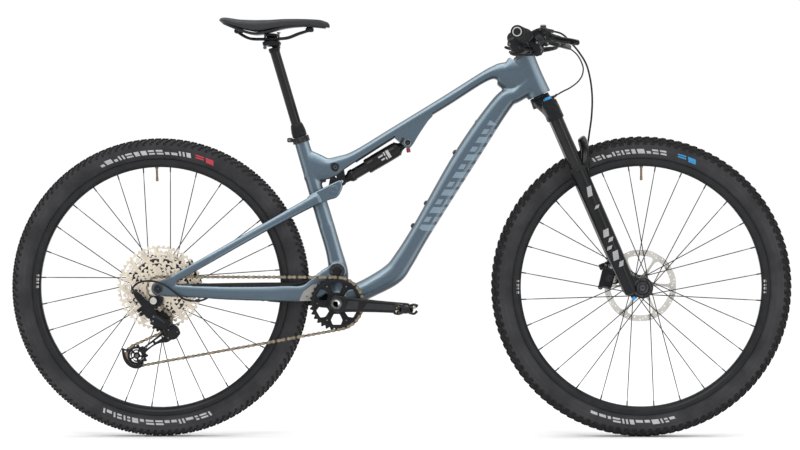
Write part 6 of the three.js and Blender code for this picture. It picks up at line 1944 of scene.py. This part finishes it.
def add_brakes():
    for side, name in ((-1, "right"), (1, "left")):
        s = side
        bore = rod(bar_point(s * 150), bar_point(s * 247), 11.3, 32)
        forms = [
            rod(bar_point(s * 226.5), bar_point(s * 238.5), 15.2, 40),
            box(328, 338, min(s * 227, s * 238), max(s * 227, s * 238), 968, 980, 1.6),
            beam([(322, s * 232, 992, 9, 5), (334, s * 230, 999, 8, 5), (347, s * 228, 1003, 8, 7)], 20, 3),
            turned_on((349, s * 174, 1007), (348, s * 262, 1001),
                [(0, 0.5), (0, 6.4), (3, 8.2), (20, 9.8), (76, 10.0), (82, 9.4), (88, 7.4), (88, 0.5)], 40),
            beam([(346, s * 250, 1003, 9, 7), (354, s * 256, 996, 9, 7), (362, s * 253, 992, 7.5, 6)], 24, 3),
            rod((349, s * 178, 1007), (371, s * 167, 1002), 4.4, 24, 3.9),
        ]
        build_fused(
            f"brake_master_{name}", merge(*forms), "black", "steerer",
            [f"brake_body_{name}"], 0.85, 3, [bore],
        )
        lid = beam([(348.6, s * 196, 1015.2, 2.0, 6.0), (348.4, s * 222, 1013.8, 2.6, 7.6),
            (348, s * 250, 1011.2, 2.0, 6.4)], 28, 3.4)
        dial = turned_on((351, s * 262, 1000.6), (351, s * 270, 1000.2),
            [(0, 0.5), (0, 6.0), (1, 6.6), (6, 6.6), (7, 5.8), (7, 0.5)], 24)
        build(f"brake_reservoir_{name}", merge(lid, dial), "anodised", "steerer")
        screws = merge(
            rod((352, s * 203, 1015.5), (352, s * 203, 1017.2), 2.0, 16),
            rod((350, s * 243, 1012), (350, s * 243, 1014), 2.0, 16),
            rod((361.5, s * 246, 997.5), (361.5, s * 246, 986), 3.2, 24),
            rod((333, s * 226, 973), (333, s * 240, 973), 3.0, 20),
        )
        build(f"brake_screws_{name}", screws, "gunmetal", "steerer")
        blade = beam(
            [
                (358, s * 249, 991, 7.0, 5), (368, s * 254, 987, 8.0, 5.4), (378, s * 258, 983, 7.6, 4.2),
                (392, s * 268, 979, 7.4, 3.8),
                (405, s * 281, 976.5, 7.4, 3.8), (414, s * 296, 974.5, 7.6, 3.2),
                (420, s * 312, 973, 7.6, 2.8), (424.5, s * 326, 972, 7.2, 2.8),
                (428, s * 336, 971.4, 6.6, 3.4), (429.5, s * 341, 971.2, 5.0, 3.4),
            ],
            28,
            2.8,
        )
        build(f"brake_blade_{name}", blade, "gloss", f"{name}_brake_blade",
            [f"brake_lever_{name}"])
        pads = [lever_stud((420 + 3 * k, s * (312 + 10 * k), 975 - 1.2 * k), (1, s * -0.3, 0), 1.8, 3.4)
            for k in range(2)]
        build(f"brake_blade_dimples_{name}", merge(*pads), "anodised", f"{name}_brake_blade")


def lever_stud(at, along, radius, length):
    """A small dimpled stud set into a lever."""
    at = np.array(at, float)
    d = unit(np.array(along, float)) * length
    return rod(at - d, at + d, radius, 20)


def add_shifters():
    clamp = rod(bar_point(-222), bar_point(-209), 14.8, 40)
    drum = turned_on((318, -214, 982), (341, -204, 945), [(0, 0.5), (0, 10), (6, 12.8), (34, 13.6),
        (41, 12.6), (44.4, 10), (44.4, 0.5)], 40)
    forms = [clamp, drum, rod((330, -216, 966), (332, -190, 972), 6, 24, 4.4),
        box(316, 330, -221, -209, 962, 984, 2), beam([(340, -206, 950, 8, 9), (330, -212, 948, 6, 9),
            (320, -214, 946, 4, 7)], 20, 3)]
    bore = [rod(bar_point(-150), bar_point(-246), 11.3, 32)]
    build_fused(
        "shifter_housing", merge(*forms), "black", "steerer", ["shifter_body"], 0.85, 3, bore
    )
    cap = merge(turned_on((338, -218.4, 956), (337.4, -215, 956),
        [(0, 0.5), (0, 8.0), (1, 9), (3, 9.4), (3, 0.5)], 36),
        rod((338, -219, 956), (338, -217, 956), 2.4, 6))
    build("shifter_cap", cap, "gunmetal", "steerer")
    paddle = beam([(326, -212, 945, 3, 7), (314, -217, 943.4, 2.6, 7.4), (300, -224, 943, 2.6, 8.4),
        (284, -232, 944, 3.2, 9), (275, -237, 946, 3.8, 8), (269.5, -239, 947.6, 3.0, 5)], 28, 3)
    build("shift_paddle_arm", paddle, "plastic", "shift_paddle", ["shift_lever"])
    grooves = merge(*[rod((277 + 4 * k, -241.4 + 2 * k, 950.0 - 0.6 * k),
        (281 + 4 * k, -228 + 2 * k, 948.9 - 0.6 * k), 0.8, 10) for k in range(3)])
    build("shift_paddle_ribs", grooves, "grip", "shift_paddle")
    release = beam([(330, -206, 955, 3, 5), (312, -214, 957, 2.6, 6), (297, -222, 960.5, 3.2, 7.4),
        (291, -226, 962.5, 2.4, 5)], 24, 3)
    build("shift_release_tab", release, "plastic", "steerer")
    clamp = rod(bar_point(206), bar_point(226), 13.8, 40)
    drum = turned_on((314, 212, 984), (322, 206, 957), [(0, 0.5), (0, 8), (5, 10.4), (24, 11), (28, 8.4),
        (28, 0.5)], 36)
    forms = [clamp, drum, rod((318, 206, 964), (330, 196, 963), 5.0, 24, 4.2),
        rod(bar_point(180), bar_point(192), 13.4, 40), beam([(324, 186, 972, 6, 5), (318, 186, 964, 5, 6)],
            20, 3)]
    bore = [rod(bar_point(150), bar_point(246), 11.3, 32)]
    build_fused("remote_housing", merge(*forms), "black", "steerer", [], 0.85, 3, bore)
    paddle = beam([(309, 216, 959, 3, 7), (298, 222, 959, 2.6, 7.6), (286, 230, 961.6, 2.8, 8.4),
        (274, 237, 966, 3.4, 8.6), (265, 240, 969, 3.8, 7), (260.5, 240.5, 970.4, 2.8, 4.4)], 28, 3)
    build("dropper_paddle_arm", paddle, "plastic", "dropper_paddle", ["dropper_lever"])
    paddle = beam([(318, 186, 962.4, 3, 5), (306, 185.5, 958.6, 2.6, 5.6), (292, 184.5, 955.6, 2.8, 6),
        (280, 183.6, 955.6, 3, 6), (271, 183, 957.4, 2.6, 4.4)], 28, 3)
    build("lockout_paddle_arm", paddle, "plastic", "lockout_paddle", ["lockout_lever"])
    pivots = merge(rod((310, 216, 954), (310, 216, 964), 3.4, 24),
        rod((316, 186, 957), (316, 186, 967), 2.8, 24), rod((324, -213, 940.4), (324, -213, 949.6), 3.6, 24))
    build("paddle_pivots", pivots, "gunmetal", "steerer")


def add_hoses():
    front = tube(
        [
            (371, 166, 1002), (388, 163, 998), (404, 160, 992), (430, 156, 975), (451, 149, 949),
            (466, 141, 921), (475, 128, 882),
            (478.5, 115, 840), (476.5, 103, 795), (471, 95, 755), (463, 92, 700), (457, 92, 650),
            (460, 92, 590),
            *[tuple(v) for v in place_front_caliper(part([(6, 54, -96), (2, 53, -60), (2, 52.7, -31)],
                []))[0]],
        ],
        2.4,
        16,
        10,
    )
    piece = build("front_hose", front, "hose", None)
    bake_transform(piece)
    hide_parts("front_brake_hose")
    stop = tuple(steered(part([(LEG_X + 20, -LEG_Y + 5.6, -13.6)], []))[0][0])
    lock = tube(
        [
            (330, 196, 963), (346, 190, 964.6), (372, 176, 968), (412, 130, 968), (438, 80, 950),
            (452, 30, 920),
            (450, -5, 898), (438, -30, 880), (418, -48, 865), (400, -57, 856), stop,
        ],
        1.9, 14, 10,
    )
    build("lockout_housing", lock, "hose", "steerer", ["lockout_cable"])
    lines = [
        tube([(371, -167, 1002), (392, -158, 997), (408, -128, 985), (404, -84, 972), (376, -48, 963),
            (342, -30, 957), (318, -17, 952), (306, -8, 945)], 2.4, 14, 10),
        tube([(332, -190, 972), (350, -172, 976), (382, -140, 977), (392, -98, 970), (372, -58, 961),
            (342, -36, 955), (320, -22, 951), (310, -14, 945)], 2.2, 14, 10),
        tube([(330, 196, 963), (352, 170, 966), (384, 120, 968), (388, 76, 964), (366, 44, 958),
            (340, 26, 954), (320, 15, 950), (308, 8, 945)], 2.2, 14, 10),
    ]
    build("housings_into_headset", merge(*lines), "hose", "steerer")
    nuts = merge(
        *[rod((366, s * 169.4, 1003), (374, s * 165.6, 1001.2), 4.6, 6) for s in (-1, 1)],
        rod((331, -193, 971.6), (338, -184, 974), 3.4, 20, 2.8),
    )
    build("hose_nuts", nuts, "anodised", "steerer")
    loop = tube([(-512, -80, 341), (-532, -86, 345), (-552, -95, 360), (-575, -100, 378), (-600, -102, 389),
        (-625, -102, 391), (-646, -100, 386), (-659, -93, 374), (-659, y_of_stop(), 369)], 2.5, 16, 10)
    stay_run = tube([(-530, -84, 344), (-505, -79, 340.4), (-486, -77.5, 343.5), (-470, -76.5, 352)], 2.5,
        14, 8)
    build("shift_housing_loop", merge(loop, stay_run), "hose", "swingarm")
    clip = box(-506, -494, -82.4, -74.4, 337.8, 345.2, 1.4)
    build("shift_housing_clips", clip, "plastic", "swingarm")
    rear = tube([(-522, 76, 366), (-526, 74, 386), (-530, 70, 404), (-534, 68, 418), (-538, 67.4, 431)], 2.4,
        14, 10)
    build("rear_brake_line", rear, "hose", "swingarm")


def y_of_stop():
    return cog_y(COG_IN_USE) - 26


def add_frame_fittings():
    forms, heads = [], []
    for x, z in ((29.5, 524), (62, 580), (133.5, 706), (189, 781)):
        d = np.array([-0.844, 0, 0.537])
        at = np.array([x, 0, z]) - d * 3.0
        forms.append(turned_on(at, at + d, [(0, 0.5), (0, 7.2), (4, 6.8), (5.4, 6.0), (5.4, 0.5)], 32))
        heads.append(turned_on(at + d * 5.2, at + d * 6.2, [(0, 0.5), (0, 4.6), (1.6, 4.6), (2.8, 3.6),
            (2.8, 1.8), (1.4, 1.8), (1.4, 0.5)], 24))
    guard = beam([(-160, 0, 328, 7, 26), (-185, 0, 327.5, 8, 27), (-208, 0, 329.5, 7, 26),
        (-217, 0, 331, 5, 24)], 28, 3.4)
    build("bottom_bracket_guard", guard, "plastic", "frame")
    mount = [(107, 836), (150, 863), (162, 869), (166, 862), (157, 852), (140, 845), (116, 829)]
    accessory = plate(rounded(mount), -9, 9, (), 1.5)
    build("accessory_mount", accessory, "plastic", "frame")
    build("bottle_bosses", merge(*forms), "anodised", "frame")
    build("bottle_bolts", merge(*heads), "gunmetal", "frame")


def add_cad_finishes():
    """Every shared node still in view gets the finish of the piece it belongs to."""
    shown = {
        "front_spokes_right": "steel", "main_frame": "paint", "chainstays": "paint", "seatstays": "paint",
    }
    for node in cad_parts.values():
        if node.hide_render:
            continue
        node.data.materials.clear()
        node.data.materials.append(look(shown.get(node.name, "black")))


add_camera()
add_stage()
add_main_frame()
add_rear_triangle()
add_calipers()
add_linkage()
add_seat()
add_wheel("rear", REAR, REAR_R, "rear_wheel", "wall_rear", "rotor_rear")
add_wheel("front", FRONT, FRONT_R, "front_wheel", "wall_front", "rotor_front")
add_cassette()
add_crankset()
add_chain()
add_derailleur()
add_fork()
add_stem()
add_bar()
add_brakes()
add_shifters()
add_hoses()
add_frame_fittings()
add_cad_finishes()
